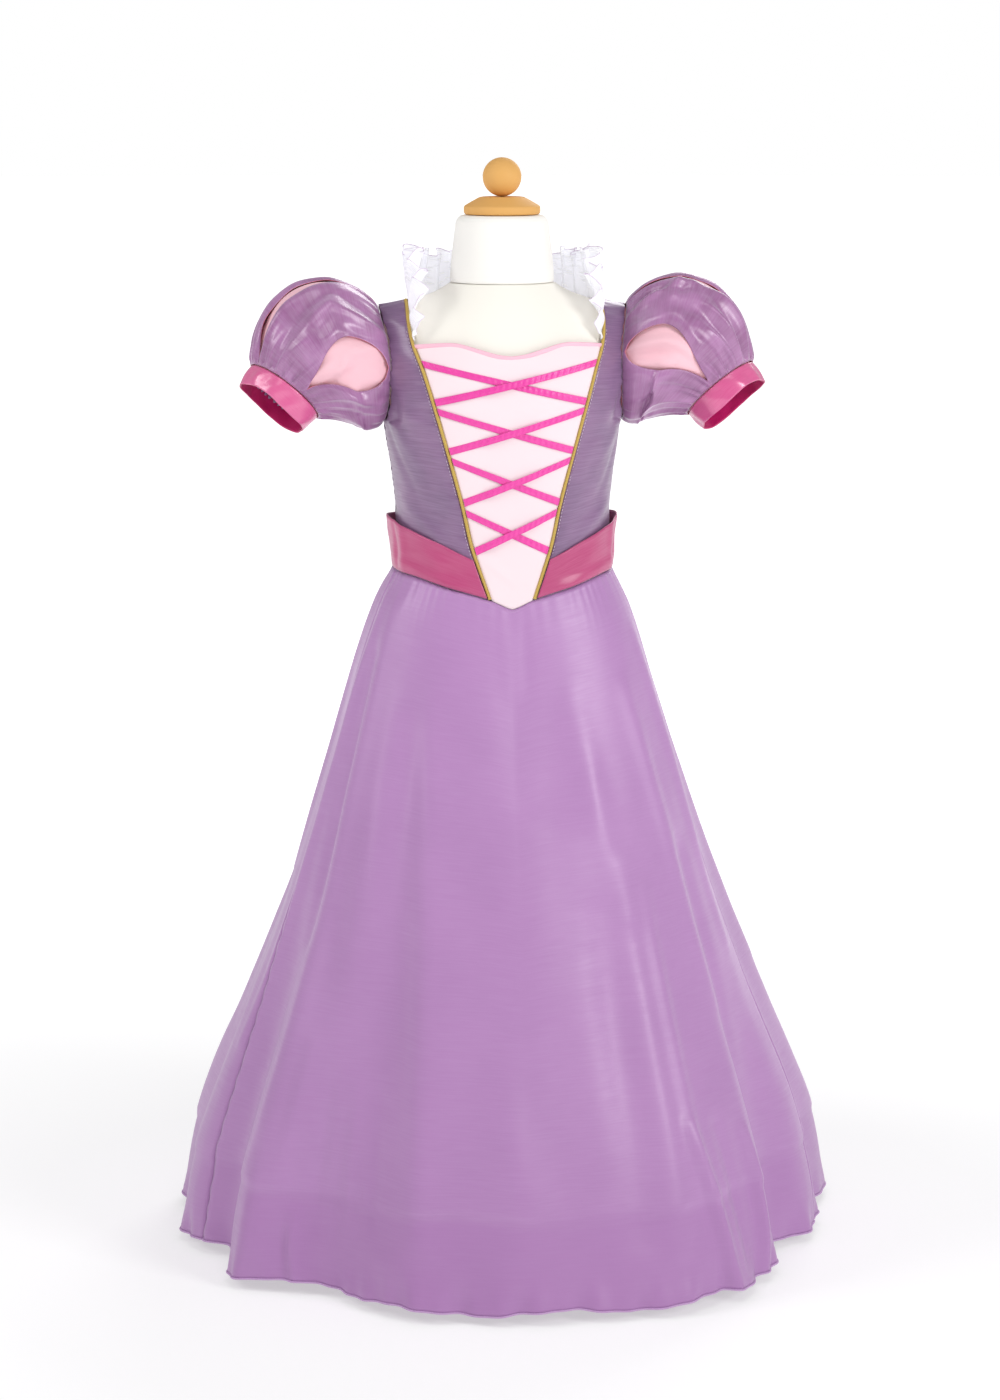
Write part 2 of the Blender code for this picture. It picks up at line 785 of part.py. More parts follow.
def build_ruffle(shop, back):
    """A gathered voile ruffle that stands on the whole neck edge."""
    half = neck_edge(back)
    other = [np.array((-p[0], p[1], p[2])) for p in half]
    whole = other + list(reversed(half))
    count = RUFFLE_WAVES * RUFFLE_STEPS + 1
    base = along_path(whole, count)
    for _ in range(6):
        base[1:-1] = (base[:-2] + 2.0 * base[1:-1] + base[2:]) / 4.0
    run = np.gradient(base, axis=0)
    run /= np.linalg.norm(run, axis=1, keepdims=True)
    out = np.cross(run, (0.0, 0.0, 1.0))
    out /= np.linalg.norm(out, axis=1, keepdims=True)
    out *= np.sign(np.sum(out[:, :2] * base[:, :2], axis=1))[:, None]
    rows = []
    for share in (0.0, 0.45, 1.0):
        row = []
        for i in range(count):
            along = 1.0 - abs(2.0 * i / (count - 1) - 1.0)
            front = 1.0 - smooth_step(along / 0.45)
            inward = -np.sign(base[i][0]) * np.array((1.0, 0.0, 0.0)) * min(abs(base[i][0]) / 0.03, 1.0)
            stand = np.array((0.0, 0.0, 1.0)) + front * (0.75 * np.array((0.0, -1.0, 0.0)) + 0.35 * inward)
            stand /= np.linalg.norm(stand)
            height = read(RUFFLE, along, 1) * (1.0 + 0.06 * math.sin(i * 0.9)) * share
            swing = read(RUFFLE, along, 2) * share * math.sin(2.0 * math.pi * i / RUFFLE_STEPS)
            row.append(base[i] + out[i] * swing + stand * height + np.array((0.0, 0.0, GAP)))
        rows.append(row)
    shop.sheet("neck_ruffle", [rows], "white_voile", RUFFLE_WALL)


def armhole_point(turn):
    """Place on the left armhole's edge, at a turn round it from the shoulder, through the front."""
    low, high = ARMHOLE[0][0], read(RIDGE, ARMHOLE[-1][1])
    z = mix(low, high, 0.5 + 0.5 * math.cos(math.radians(turn)))
    x = read(ARMHOLE, z)
    angle = body_angle(x, z)
    y = abs(body_at(angle, z)[1])
    return np.array((x + ARMHOLE_SEAM, -math.copysign(y, math.sin(math.radians(turn))), z))


class Sleeve:
    """One puff sleeve: its bent path from armhole to cuff, and what is cut and sewn on it."""

    def __init__(self, name, facts):
        self.name = name
        self.side = facts["side"]
        self.knots = [np.array(facts[key]) for key in ("armhole", "middle", "cuff")]
        facing = np.array(facts["facing"])
        self.facing = facing / np.linalg.norm(facing)
        self.slashes = facts["slashes"]

    def frame(self, along):
        """Centre, normal, upright axis and depth axis of the ring at a share of the way."""
        start, middle, end = self.knots
        centre = (1 - along) ** 2 * start + 2 * along * (1 - along) * middle + along**2 * end
        normal = mix(np.array((1.0, 0.0, 0.0)), self.facing, along)
        normal /= np.linalg.norm(normal)
        depth = np.array((0.0, 1.0, 0.0)) - normal * normal[1]
        depth /= np.linalg.norm(depth)
        upright = np.cross(depth, normal)
        if upright[2] < 0:
            upright = -upright
        return centre, normal, upright, depth

    def ring_point(self, along, turn, inset=0.0, gathers=1.0):
        """Outer side of the puff at a turn round it from the top, through the front."""
        centre, _, upright, depth = self.frame(along)
        near_seam = max(1.0 - abs(along - 0.08) / 0.08, 1.0 - abs(along - 0.92) / 0.08, 0.0)
        wave = math.cos(math.radians(turn) * PUFF_GATHERS) * PUFF_GATHER_DEPTH * near_seam * gathers
        angle = math.radians(turn)
        up = (read(PUFF, along, 1) + wave - inset) * math.cos(angle)
        forward = (read(PUFF, along, 2) + wave - inset) * math.sin(angle)
        point = centre + upright * up - depth * forward
        if along < ARMHOLE_BLEND:
            start, _, upright, depth = self.frame(0.0)
            up = read(PUFF, 0.0, 1) * math.cos(angle)
            forward = read(PUFF, 0.0, 2) * math.sin(angle)
            ring = start + upright * up - depth * forward
            point = point + (armhole_point(turn) - ring) * (1.0 - smooth_step(along / ARMHOLE_BLEND))
        return np.array((self.side * point[0], point[1], point[2]))

    def slash_half(self, key, along):
        """Half the opening of a slash, in degrees, at a share of the way."""
        first, last = PUFF_ROWS[1], PUFF_ROWS[-2]
        if not first < along < last:
            return 0.0
        share = (along - first) / (last - first)
        _, widest, peak = self.slashes[key]
        return widest * math.sin(math.pi * share ** (math.log(0.5) / math.log(peak)))

    def half_grids(self, start, slash, end, columns):
        """Two grids of one half of the puff, either side of its slash, that meet at the slash's tips."""
        before = []
        after = []
        for along in PUFF_ROWS:
            gap = math.degrees(PANEL_SEAM / 2 / read(PUFF, along, 2))
            first = start[0] + (self.slash_half(start[1], along) if start[1] else 0.0) + gap
            last = end[0] - (self.slash_half(end[1], along) if end[1] else 0.0) - gap
            open_half = self.slash_half(slash, along)
            middle = self.slashes[slash][0]
            for rows, near, far in (
                (before, first, middle - open_half),
                (after, middle + open_half, last),
            ):
                turns = [mix(near, far, j / columns) for j in range(columns + 1)]
                rows.append([self.ring_point(along, turn) for turn in turns])
        return [self.facing_out(before), self.facing_out(after)]

    def facing_out(self, rows):
        """Turn the columns round on the side where they would face in."""
        if self.side > 0:
            return [list(reversed(row)) for row in rows]
        return rows

    def build(self, shop):
        """The two halves of the slashed puff, the puff under it and the cuff."""
        top = self.slashes["top"][0]
        front = self.half_grids((top, "top"), "front", (BOTTOM_SEAM, None), 7)
        back = self.half_grids((BOTTOM_SEAM, None), "back", (top + 360.0, "top"), 7)
        shop.sheet(f"puff_front_{self.name}", front, "purple_satin", SATIN_WALL)
        shop.sheet(f"puff_back_{self.name}", back, "purple_satin", SATIN_WALL)
        self.build_under_puff(shop)
        self.build_cuff(shop)

    def build_under_puff(self, shop):
        """The pink puff that shows through the slashes."""
        columns = 18
        rows = []
        for along in UNDER_PUFF_ROWS:
            inset = read(UNDER_PUFF, along)
            row = [self.ring_point(along, 360.0 * j / columns, inset, 0.0) for j in range(columns)]
            rows.append(row)
        grid = self.facing_out(rows)
        shop.sheet(f"under_puff_{self.name}", [grid], "pink_taffeta", SATIN_WALL, closed=True)

    def build_cuff(self, shop):
        """The flat band round the cuff."""
        centre, normal, upright, depth = self.frame(1.0)
        columns = 24
        rows = []
        for share in (0.0, 1.0):
            middle = centre + normal * (CUFF_SEAM + CUFF_WIDTH * share)
            radius = mix(CUFF_RADIUS, CUFF_END_RADIUS, share)
            row = []
            for j in range(columns):
                turn = 2.0 * math.pi * j / columns
                point = middle + upright * radius * math.cos(turn) - depth * radius * math.sin(turn)
                row.append(np.array((self.side * point[0], point[1], point[2])))
            rows.append(row)
        shop.sheet(f"cuff_{self.name}", [self.facing_out(rows)], "hot_pink", SATIN_WALL, closed=True)


def form_point(angle, share):
    """The form above the chest: inside the bodice, and meeting the neck where no cloth lies over it."""
    x = abs(section(angle, 0.1160, 1.0, 1.0, BODY_POWER)[0])
    top = 90.0
    if read(RIDGE, x) > NECK_SEAM_Z:
        top = math.degrees(math.asin((NECK_SEAM_Z - CHEST_Z) / ridge_rise(x)))
    phi = top * share
    point = shoulder_at(angle, phi)
    normal = outward(shoulder_at, angle, min(phi, 88.0), drop=0.5)
    if phi > 88.0:
        normal = np.array((normal[0], 0.0, normal[2])) / math.hypot(normal[0], normal[2])
    clear = mix(FORM_CLEAR_BODY, FORM_CLEAR_SHOULDER, share**6)
    under_cloth = smooth_step((abs(point[0]) - 0.045) / 0.020)
    return point - normal * clear * mix(1.0, under_cloth, share**3)


def form_rows():
    """Rows of the torso form, round the whole body, from its flat bottom to its top line."""
    half = [7.5 * k for k in range(13)]
    angles = [-a for a in reversed(half[1:])] + half
    angles += [180.0 - a for a in reversed(half[:-1])] + [180.0 + a for a in half[1:-1]]
    rows = []
    for z in FORM_LOW_ROWS:
        rows.append([body_at(angle, z) - outward(body_at, angle, z) * FORM_CLEAR_BODY for angle in angles])
    for share in FORM_HIGH_ROWS:
        rows.append([form_point(angle, share) for angle in angles])
    for row in rows:
        for point in row:
            arm = smooth_step((abs(point[0]) - 0.092) / 0.018) * smooth_step((point[2] - 0.760) / 0.025)
            point[0] *= 1.0 - arm * FORM_ARM_PULL / abs(point[0]) if arm else 1.0
    for point in rows[0]:
        point[2] = FORM_BOTTOM_Z
    return rows


def build_form(shop):
    """The limbless form: a padded torso, its neck, a turned cap and knob, a pole and a round foot."""
    inner = form_rows()

    def build(bm):
        loft(bm, inner, closed=True)
        bmesh.ops.remove_doubles(bm, verts=bm.verts, dist=1e-5)
        bmesh.ops.holes_fill(bm, edges=[edge for edge in bm.edges if edge.is_boundary])
        bmesh.ops.recalc_face_normals(bm, faces=bm.faces)

    shop.mesh("form_torso", build, "jersey")
    shop.turned("form_neck", NECK_TOP + NECK_FOOT, "linen")
    shop.turned("form_cap", CAP_PROFILE + CAP_EDGE, "beech")
    knob = [
        (KNOB_RADIUS * math.sin(math.radians(a)), KNOB_Z + KNOB_RADIUS * math.cos(math.radians(a)))
        for a in range(0, 181, 18)
    ]
    shop.turned("form_knob", knob, "beech", steps=20)
    top = FORM_BOTTOM_Z - GAP
    bottom = FOOT_HEIGHT + GAP
    pole = ((0.0, top), (POLE_RADIUS, top), (POLE_RADIUS, bottom), (0.0, bottom))
    shop.turned("stand_pole", pole, "steel", steps=20)
    rim = 0.003
    foot = (
        (0.0, FOOT_HEIGHT),
        (FOOT_RADIUS - rim, FOOT_HEIGHT),
        (FOOT_RADIUS, FOOT_HEIGHT - rim),
        (FOOT_RADIUS, 0.0),
        (0.0, 0.0),
    )
    shop.turned("stand_foot", foot, "beech", steps=40)


def main():
    """Clear the scene and build every piece."""
    clear_scene()
    shop = Workshop()
    build_form(shop)
    back = build_bodice(shop)
    build_sash(shop)
    build_skirt(shop)
    build_ruffle(shop, back)
    for name, facts in SLEEVES.items():
        Sleeve(name, facts).build(shop)


main()
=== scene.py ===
"""The look of a child's princess costume dress on its limbless dress form.

Everything is in metres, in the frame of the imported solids: +Z is up, the dress faces -Y and +X is the
wearer's left. Each cloth piece is a thin shell on the form of its solid, with its creases added.
"""

import logging
import math
from collections.abc import Callable, Sequence
from dataclasses import dataclass
from enum import Enum

import bpy
import numpy as np
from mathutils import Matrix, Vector


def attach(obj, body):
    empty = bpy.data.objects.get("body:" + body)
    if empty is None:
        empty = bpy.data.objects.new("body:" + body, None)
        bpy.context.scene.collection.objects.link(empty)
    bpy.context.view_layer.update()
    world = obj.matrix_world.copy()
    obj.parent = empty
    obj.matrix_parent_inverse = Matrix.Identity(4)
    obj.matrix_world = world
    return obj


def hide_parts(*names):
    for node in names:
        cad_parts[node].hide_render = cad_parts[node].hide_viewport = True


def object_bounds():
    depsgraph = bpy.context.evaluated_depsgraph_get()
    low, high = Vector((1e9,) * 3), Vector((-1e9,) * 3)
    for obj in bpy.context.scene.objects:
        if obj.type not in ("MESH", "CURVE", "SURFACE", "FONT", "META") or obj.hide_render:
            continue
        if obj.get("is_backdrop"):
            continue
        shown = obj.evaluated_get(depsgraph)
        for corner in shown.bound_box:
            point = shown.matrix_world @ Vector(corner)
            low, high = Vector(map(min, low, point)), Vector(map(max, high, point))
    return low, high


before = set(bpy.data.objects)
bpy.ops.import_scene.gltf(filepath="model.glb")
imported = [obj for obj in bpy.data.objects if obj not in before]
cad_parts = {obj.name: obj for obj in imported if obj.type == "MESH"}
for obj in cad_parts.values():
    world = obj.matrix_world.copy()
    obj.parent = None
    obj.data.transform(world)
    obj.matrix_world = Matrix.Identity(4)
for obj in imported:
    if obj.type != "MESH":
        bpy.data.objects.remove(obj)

log = logging.getLogger("dress")
Array = np.ndarray
Colour = tuple[float, float, float]

# Gaps and heights that the solids are made with.
GAP = 0.0003
SEWN_WALL = 0.0016
CLOTH = 0.0007
HEM_Z = 0.012
WAIST_TO_HEM = 0.636
CHEST_Z = 0.800
UNDERARM_Z = 0.785
NECK_SEAM_Z = 0.910
FORM_BOTTOM_Z = 0.560
BODY_POWER = 2.4
HEM_POWER = 2.0
PIPING_RADIUS = 0.0015
PIPING_SEAM = 0.0022
SKIRT_SIDE_ANGLE = 82.0
LINING_DOWN = 0.865


class Side(Enum):
    """The wearer's side that a piece is on."""

    LEFT = 1.0
    RIGHT = -1.0

    @property
    def label(self) -> str:
        """The side's name, as the solids' names end."""
        return self.name.lower()


class Thread(Enum):
    """How a cloth's threads show in its surface."""

    SLUB = "slub"
    PLAIN = "plain"
    KNIT = "knit"


def mix(a: Array | float, b: Array | float, t: Array | float) -> Array:
    """Straight blend from a to b."""
    return a + (b - a) * t


def ease(t: Array | float) -> Array:
    """Smooth step from 0 to 1."""
    t = np.clip(t, 0.0, 1.0)
    return t * t * (3.0 - 2.0 * t)


class Table:
    """Smooth values read from a short table, by a cubic through its rows and flat past its ends."""

    def __init__(self, columns: tuple[str, ...], rows: Sequence[tuple[float, ...]]) -> None:
        """Keep the rows.

        Args:
            columns: The columns' names, the key's first.
            rows: The table's rows, by rising key.
        """
        self.columns = columns
        self.rows = np.array(rows)

    def __call__(self, key: Array | float, name: str | None = None) -> Array:
        """Read one column at some keys.

        Args:
            key: Where to read.
            name: The column, or the second one if it is left out.

        Returns:
            The values, in the shape of key.
        """
        keys = self.rows[:, 0]
        values = self.rows[:, self.columns.index(name) if name else 1]
        index = np.arange(len(keys))
        low, high = np.maximum(index - 1, 0), np.minimum(index + 1, len(keys) - 1)
        slopes = (values[high] - values[low]) / (keys[high] - keys[low])
        x = np.clip(key, keys[0], keys[-1])
        i = np.clip(np.searchsorted(keys, x, side="right") - 1, 0, len(keys) - 2)
        step = keys[i + 1] - keys[i]
        t = (x - keys[i]) / step
        start = (1 + 2 * t) * (1 - t) ** 2 * values[i] + t * (1 - t) ** 2 * step * slopes[i]
        end = t * t * (3 - 2 * t) * values[i + 1] + t * t * (t - 1) * step * slopes[i + 1]
        return start + end


BODY = Table(
    ("z", "half_width", "front", "back"),
    (
        (0.550, 0.1145, 0.0990, 0.0960),
        (0.600, 0.1080, 0.0935, 0.0880),
        (0.648, 0.1010, 0.0880, 0.0805),
        (0.695, 0.0985, 0.0862, 0.0790),
        (0.735, 0.1020, 0.0870, 0.0825),
        (0.785, 0.1095, 0.0882, 0.0860),
        (0.820, 0.1130, 0.0882, 0.0862),
        (0.860, 0.1160, 0.0875, 0.0855),
        (0.900, 0.1180, 0.0870, 0.0850),
    ),
)
RIDGE = Table(
    ("x", "z"),
    (
        (0.000, 0.9320),
        (0.015, 0.9300),
        (0.030, 0.9225),
        (0.048, 0.9100),
        (0.060, 0.9045),
        (0.075, 0.8990),
        (0.089, 0.8945),
        (0.120, 0.8885),
    ),
)
WAIST = Table(
    ("angle", "z"),
    ((0.0, 0.6200), (8.4, 0.6285), (38.0, 0.6415), (56.0, 0.6465), (90.0, 0.6480), (180.0, 0.6460)),
)
PIPING = Table(
    ("z", "x"),
    (
        (0.6280, 0.0200),
        (0.6750, 0.0358),
        (0.7150, 0.0448),
        (0.7630, 0.0577),
        (0.8050, 0.0697),
        (0.8350, 0.0785),
        (0.8570, 0.0862),
        (0.8760, 0.0892),
        (0.8950, 0.0890),
    ),
)
SWEETHEART = Table(
    ("x", "z"),
    ((0.000, 0.8470), (0.012, 0.8485), (0.030, 0.8535), (0.048, 0.8580), (0.065, 0.8578), (0.095, 0.8550)),
)
ARMHOLE = Table(
    ("z", "x"),
    (
        (0.785, 0.1095),
        (0.792, 0.1075),
        (0.805, 0.1060),
        (0.835, 0.1045),
        (0.860, 0.1070),
        (0.880, 0.1115),
        (0.895, 0.1150),
    ),
)
BACK_NECK = Table(("x", "z"), ((0.000, 0.8820), (0.030, 0.8835), (0.060, 0.8880), (0.080, 0.8925)))
SASH = Table(
    ("angle", "top", "stand_off"),
    (
        (12.0, 0.6615, 0.0006),
        (35.0, 0.6780, 0.0010),
        (60.0, 0.6890, 0.0022),
        (82.0, 0.6955, 0.0060),
        (92.0, 0.6965, 0.0072),
        (110.0, 0.6945, 0.0040),
        (140.0, 0.6920, 0.0012),
        (180.0, 0.6910, 0.0008),
    ),
)
SKIRT = Table(
    ("down", "half_width", "front", "back"),
    (
        (0.00, 0.1010, 0.0895, 0.0805),
        (0.05, 0.1160, 0.0990, 0.0970),
        (0.12, 0.1310, 0.1110, 0.1180),
        (0.21, 0.1480, 0.1270, 0.1420),
        (0.30, 0.1650, 0.1420, 0.1650),
        (0.39, 0.1815, 0.1580, 0.1880),
        (0.48, 0.1985, 0.1735, 0.2100),
        (0.57, 0.2180, 0.1890, 0.2320),
        (0.66, 0.2390, 0.2050, 0.2540),
        (0.75, 0.2600, 0.2210, 0.2760),
        (0.85, 0.2810, 0.2380, 0.2990),
        (0.93, 0.2930, 0.2510, 0.3150),
        (1.00, 0.2990, 0.2620, 0.3280),
    ),
)
RUFFLE = Table(
    ("along", "height", "wave"),
    (
        (0.00, 0.008, 0.0020),
        (0.10, 0.024, 0.0055),
        (0.22, 0.039, 0.0085),
        (0.36, 0.045, 0.0090),
        (0.52, 0.046, 0.0085),
        (0.75, 0.047, 0.0070),
        (1.00, 0.046, 0.0060),
    ),
)
PUFF = Table(
    ("along", "upright", "depth"),
    (
        (0.00, 0.0545, 0.0440),
        (0.05, 0.0600, 0.0500),
        (0.12, 0.0655, 0.0560),
        (0.25, 0.0700, 0.0615),
        (0.40, 0.0715, 0.0640),
        (0.55, 0.0700, 0.0640),
        (0.70, 0.0645, 0.0605),
        (0.82, 0.0565, 0.0545),
        (0.92, 0.0470, 0.0465),
        (1.00, 0.0385, 0.0385),
    ),
)
UNDER_PUFF = Table(
    ("along", "inset"), ((0.00, 0.0030), (0.05, 0.0056), (0.50, 0.0070), (0.95, 0.0056), (1.00, 0.0030))
)


@dataclass(frozen=True)
class Fold:
    """One of the skirt's largest folds, as the solids have it.

    Attributes:
        angle: Where it is at the hem, from the front, in degrees; minus is the wearer's right.
        half_width: How far it reaches either side, in degrees.
        depth: How far it moves the hem out, or in if it is under 0.
        starts_at: Where it starts, as a share of the way down.
        drift: How far its top lies round from its foot, in degrees.
    """

    angle: float
    half_width: float
    depth: float
    starts_at: float
    drift: float


FOLDS = (
    Fold(-158.0, 18.0, 0.018, 0.22, 0.0),
    Fold(-138.0, 15.0, -0.030, 0.18, 4.0),
    Fold(-114.0, 17.0, 0.026, 0.12, 6.0),
    Fold(-92.0, 9.0, 0.006, 0.20, 2.0),
    Fold(-74.0, 13.0, -0.027, 0.30, 3.0),
    Fold(-57.0, 6.0, 0.012, 0.72, 2.0),
    Fold(-41.0, 22.0, -0.034, 0.36, 5.0),
    Fold(-12.0, 10.0, -0.005, 0.50, 0.0),
    Fold(28.0, 22.0, 0.014, 0.40, -4.0),
    Fold(41.0, 6.0, 0.009, 0.76, -2.0),
    Fold(65.0, 14.0, -0.034, 0.48, -4.0),
    Fold(84.0, 8.0, 0.006, 0.30, -2.0),
    Fold(106.0, 17.0, 0.042, 0.14, -6.0),
    Fold(130.0, 15.0, -0.030, 0.18, -4.0),
    Fold(152.0, 15.0, 0.020, 0.20, 0.0),
    Fold(176.0, 14.0, -0.028, 0.16, 0.0),
)


@dataclass(frozen=True)
class Crease:
    """One soft trough or ridge along a line on a piece of cloth.

    Attributes:
        start: One end, in the piece's two coordinates.
        end: The other end.
        width: How far it reaches to a side, in metres.
        rise: Its height, or its depth if it is under 0.
        bow: How far its middle lies to a side of the straight line.
    """

    start: tuple[float, float]
    end: tuple[float, float]
    width: float
    rise: float
    bow: float = 0.0


def creased(creases: Sequence[Crease], across: Array, along: Array, spread: Array | float = 1.0) -> Array:
    """The height that creases give to each place.

    Args:
        creases: The creases, in metres.
        across: The places' first coordinate, in metres.
        along: Their second coordinate, in metres.
        spread: How much wider the cloth really is there than the first coordinate says.

    Returns:
        The height at each place.
    """
    total = np.zeros(np.broadcast(across, along).shape)
    for crease in creases:
        (x0, y0), (x1, y1) = crease.start, crease.end
        run_x, run_y = x1 - x0, y1 - y0
        length = math.hypot(run_x, run_y)
        t = ((across - x0) * run_x + (along - y0) * run_y) / length**2
        inside = np.clip(t, 0.0, 1.0)
        beside = ((across - x0) * run_y - (along - y0) * run_x) / length
        beside = (beside + crease.bow * 4.0 * inside * (1.0 - inside)) * spread
        beyond = (t - inside) * length
        fade = np.sin(np.pi * (0.12 + 0.76 * inside)) ** 0.8
        total += crease.rise * fade * np.exp(-((beside / crease.width) ** 2) - (beyond / crease.width) ** 2)
    return total


def crumple(across: Array, along: Array, seed: int, wavelength: float, lean: float = 1.0) -> Array:
    """Small uneven waves, the same at each run, from -1 to 1.

    Args:
        across: First coordinate, in metres.
        along: Second coordinate, in metres.
        seed: Chooses the waves.
        wavelength: Their mean length, in metres.
        lean: Over 1 draws them out along the second coordinate.

    Returns:
        The wave's height at each place.
    """
    source = np.random.default_rng(seed)
    total = np.zeros(np.broadcast(across, along).shape)
    waves = 9
    for _ in range(waves):
        turn, phase = source.uniform(0.0, 2.0 * math.pi, 2)
        size = wavelength * source.uniform(0.6, 1.7)
        total += np.sin(2 * np.pi * (across * math.cos(turn) + along * math.sin(turn) / lean) / size + phase)
    return total / math.sqrt(waves * 2.0)


def section(angle: Array, half_width: Array, front: Array, back: Array, power: Array | float) -> tuple[Array, Array]:
    """Plan place at an angle from the front, on a section with squarer corners than an ellipse."""
    turn = np.radians(angle)
    across = np.copysign(np.abs(np.sin(turn)) ** (2.0 / power), np.sin(turn))
    along = np.copysign(np.abs(np.cos(turn)) ** (2.0 / power), np.cos(turn))
    return half_width * across, -np.where(along > 0, front, back) * along


def stacked(x: Array, y: Array, z: Array) -> Array:
    """Points from three arrays of coordinates."""
    return np.stack(np.broadcast_arrays(x, y, z), axis=-1)


class Figure:
    """The outer side of the bodice: sections up to the chest, and arcs over the shoulders."""

    def rise(self, x: Array) -> Array:
        """Height of the top line above the chest."""
        return RIDGE(np.abs(x)) - CHEST_Z

    def at(self, angle: Array, z: Array) -> Array:
        """Points at section angles and heights."""
        x, y = section(angle, BODY(z, "half_width"), BODY(z, "front"), BODY(z, "back"), BODY_POWER)
        share = np.clip((z - CHEST_Z) / self.rise(x), 0.0, 1.0)
        return stacked(x, y * np.sqrt(1.0 - share**2), z)

    def shoulder(self, angle: Array, phi: Array) -> Array:
        """Points above the chest, by the angle phi from the chest, 0, to the top line, 90."""
        lift = np.sin(np.radians(phi))
        z = CHEST_Z + lift * (RIDGE(0.12) - CHEST_Z)
        for _ in range(5):
            x, y = section(angle, BODY(z, "half_width"), BODY(z, "front"), BODY(z, "back"), BODY_POWER)
            z = CHEST_Z + self.rise(x) * lift
        return stacked(x, y * np.cos(np.radians(phi)), z)

    def line(self, edge: Callable[[Array], Array], phi: Array) -> Array:
        """Points at angles phi on a line whose section angle is given by its height."""
        z = CHEST_Z + np.sin(np.radians(phi)) * (RIDGE(0.1) - CHEST_Z)
        for _ in range(8):
            points = self.shoulder(edge(z), phi)
            z = points[..., 2]
        return points

    def angle(self, x: Array, z: Array) -> Array:
        """Section angle, on the front, of places at a half width."""
        share = np.minimum(x / BODY(z, "half_width"), 1.0)
        return np.degrees(np.arcsin(share ** (BODY_POWER / 2.0)))

    def phi(self, angle: Array, z: Array) -> Array:
        """The angle phi at which the body reaches a height."""
        return np.degrees(np.arcsin(np.clip((z - CHEST_Z) / self.rise(self.at(angle, z)[..., 0]), 0.0, 1.0)))

    def moved(self, angle: Array, z: Array, move: float) -> Array:
        """Section angles moved along the surface by a distance in metres."""
        level = np.minimum(z, 0.870)
        degree = np.linalg.norm(self.at(angle + 0.5, level) - self.at(angle - 0.5, level), axis=-1)
        return angle + move / degree

    def normal(self, angle: Array, z: Array) -> Array:
        """Unit normals, outward."""
        across = self.at(angle + 0.05, z) - self.at(angle - 0.05, z)
        down = self.at(angle, z - 0.0005) - self.at(angle, z + 0.0005)
        normal = np.cross(across, down)
        normal /= np.linalg.norm(normal, axis=-1, keepdims=True)
        here = self.at(angle, z)
        outward = np.sum(normal[..., :2] * here[..., :2], axis=-1, keepdims=True)
        return np.where(outward > 0, normal, -normal)

    def piping(self, z: Array) -> Array:
        """Section angle of the piping."""
        return self.angle(PIPING(z), z)

    def armhole(self, z: Array) -> Array:
        """Section angle of the armhole's edge, or of the side seam below it."""
        z = np.asarray(z, float)
        return np.where(z <= UNDERARM_Z, 90.0, self.angle(ARMHOLE(z) - GAP, z))

    def shoulder_end(self, angle: Array) -> Array:
        """The angle phi at which a panel meets the shoulder seam."""
        depth = np.abs(section(angle, 1.0, 0.087, 0.086, BODY_POWER)[1])
        return np.degrees(np.arccos(np.minimum(0.0002 / np.maximum(depth, 0.002), 1.0)))


FIGURE = Figure()


@dataclass
class Net:
    """A net of points on cloth, rows by columns.

    Attributes:
        points: The points, rows by columns by 3.
        closed: Whether the last column lies on the first one.
        place: A second map of the net, rows by columns by 2, for finishes that change over the piece.
    """

    points: Array
    closed: bool = False
    place: Array | None = None

    def normals(self) -> Array:
        """Unit normals, away from the side that the rows and columns turn round."""
        points = self.points
        if self.closed:
            ring = points[:, :-1]
            across = np.roll(ring, -1, axis=1) - np.roll(ring, 1, axis=1)
            across = np.concatenate((across, across[:, :1]), axis=1)
        else:
            across = np.gradient(points, axis=1)
        normal = np.cross(across, np.gradient(points, axis=0))
        return normal / np.maximum(np.linalg.norm(normal, axis=-1, keepdims=True), 1e-12)

    def raised(self, height: Array | float) -> "Net":
        """The net with each point moved out along its normal."""
        height = np.broadcast_to(height, self.points.shape[:2])
        return Net(self.points + self.normals() * height[..., None], self.closed, self.place)

    def mirrored(self) -> "Net":
        """The net on the wearer's other side, still facing out."""
        points = self.points[:, ::-1] * np.array((-1.0, 1.0, 1.0))
        return Net(points, self.closed, None if self.place is None else self.place[:, ::-1])

    def cloth(self) -> Array:
        """Coordinates along the cloth, in metres, for the weave."""
        across = np.linalg.norm(np.diff(self.points, axis=1), axis=-1)
        along = np.linalg.norm(np.diff(self.points, axis=0), axis=-1)
        u = np.pad(np.cumsum(across, axis=1), ((0, 0), (1, 0)))
        u -= u[:, -1:] / 2.0
        v = np.pad(np.cumsum(along.mean(axis=1)), (1, 0))
        return np.stack(np.broadcast_arrays(u, v[:, None]), axis=-1)


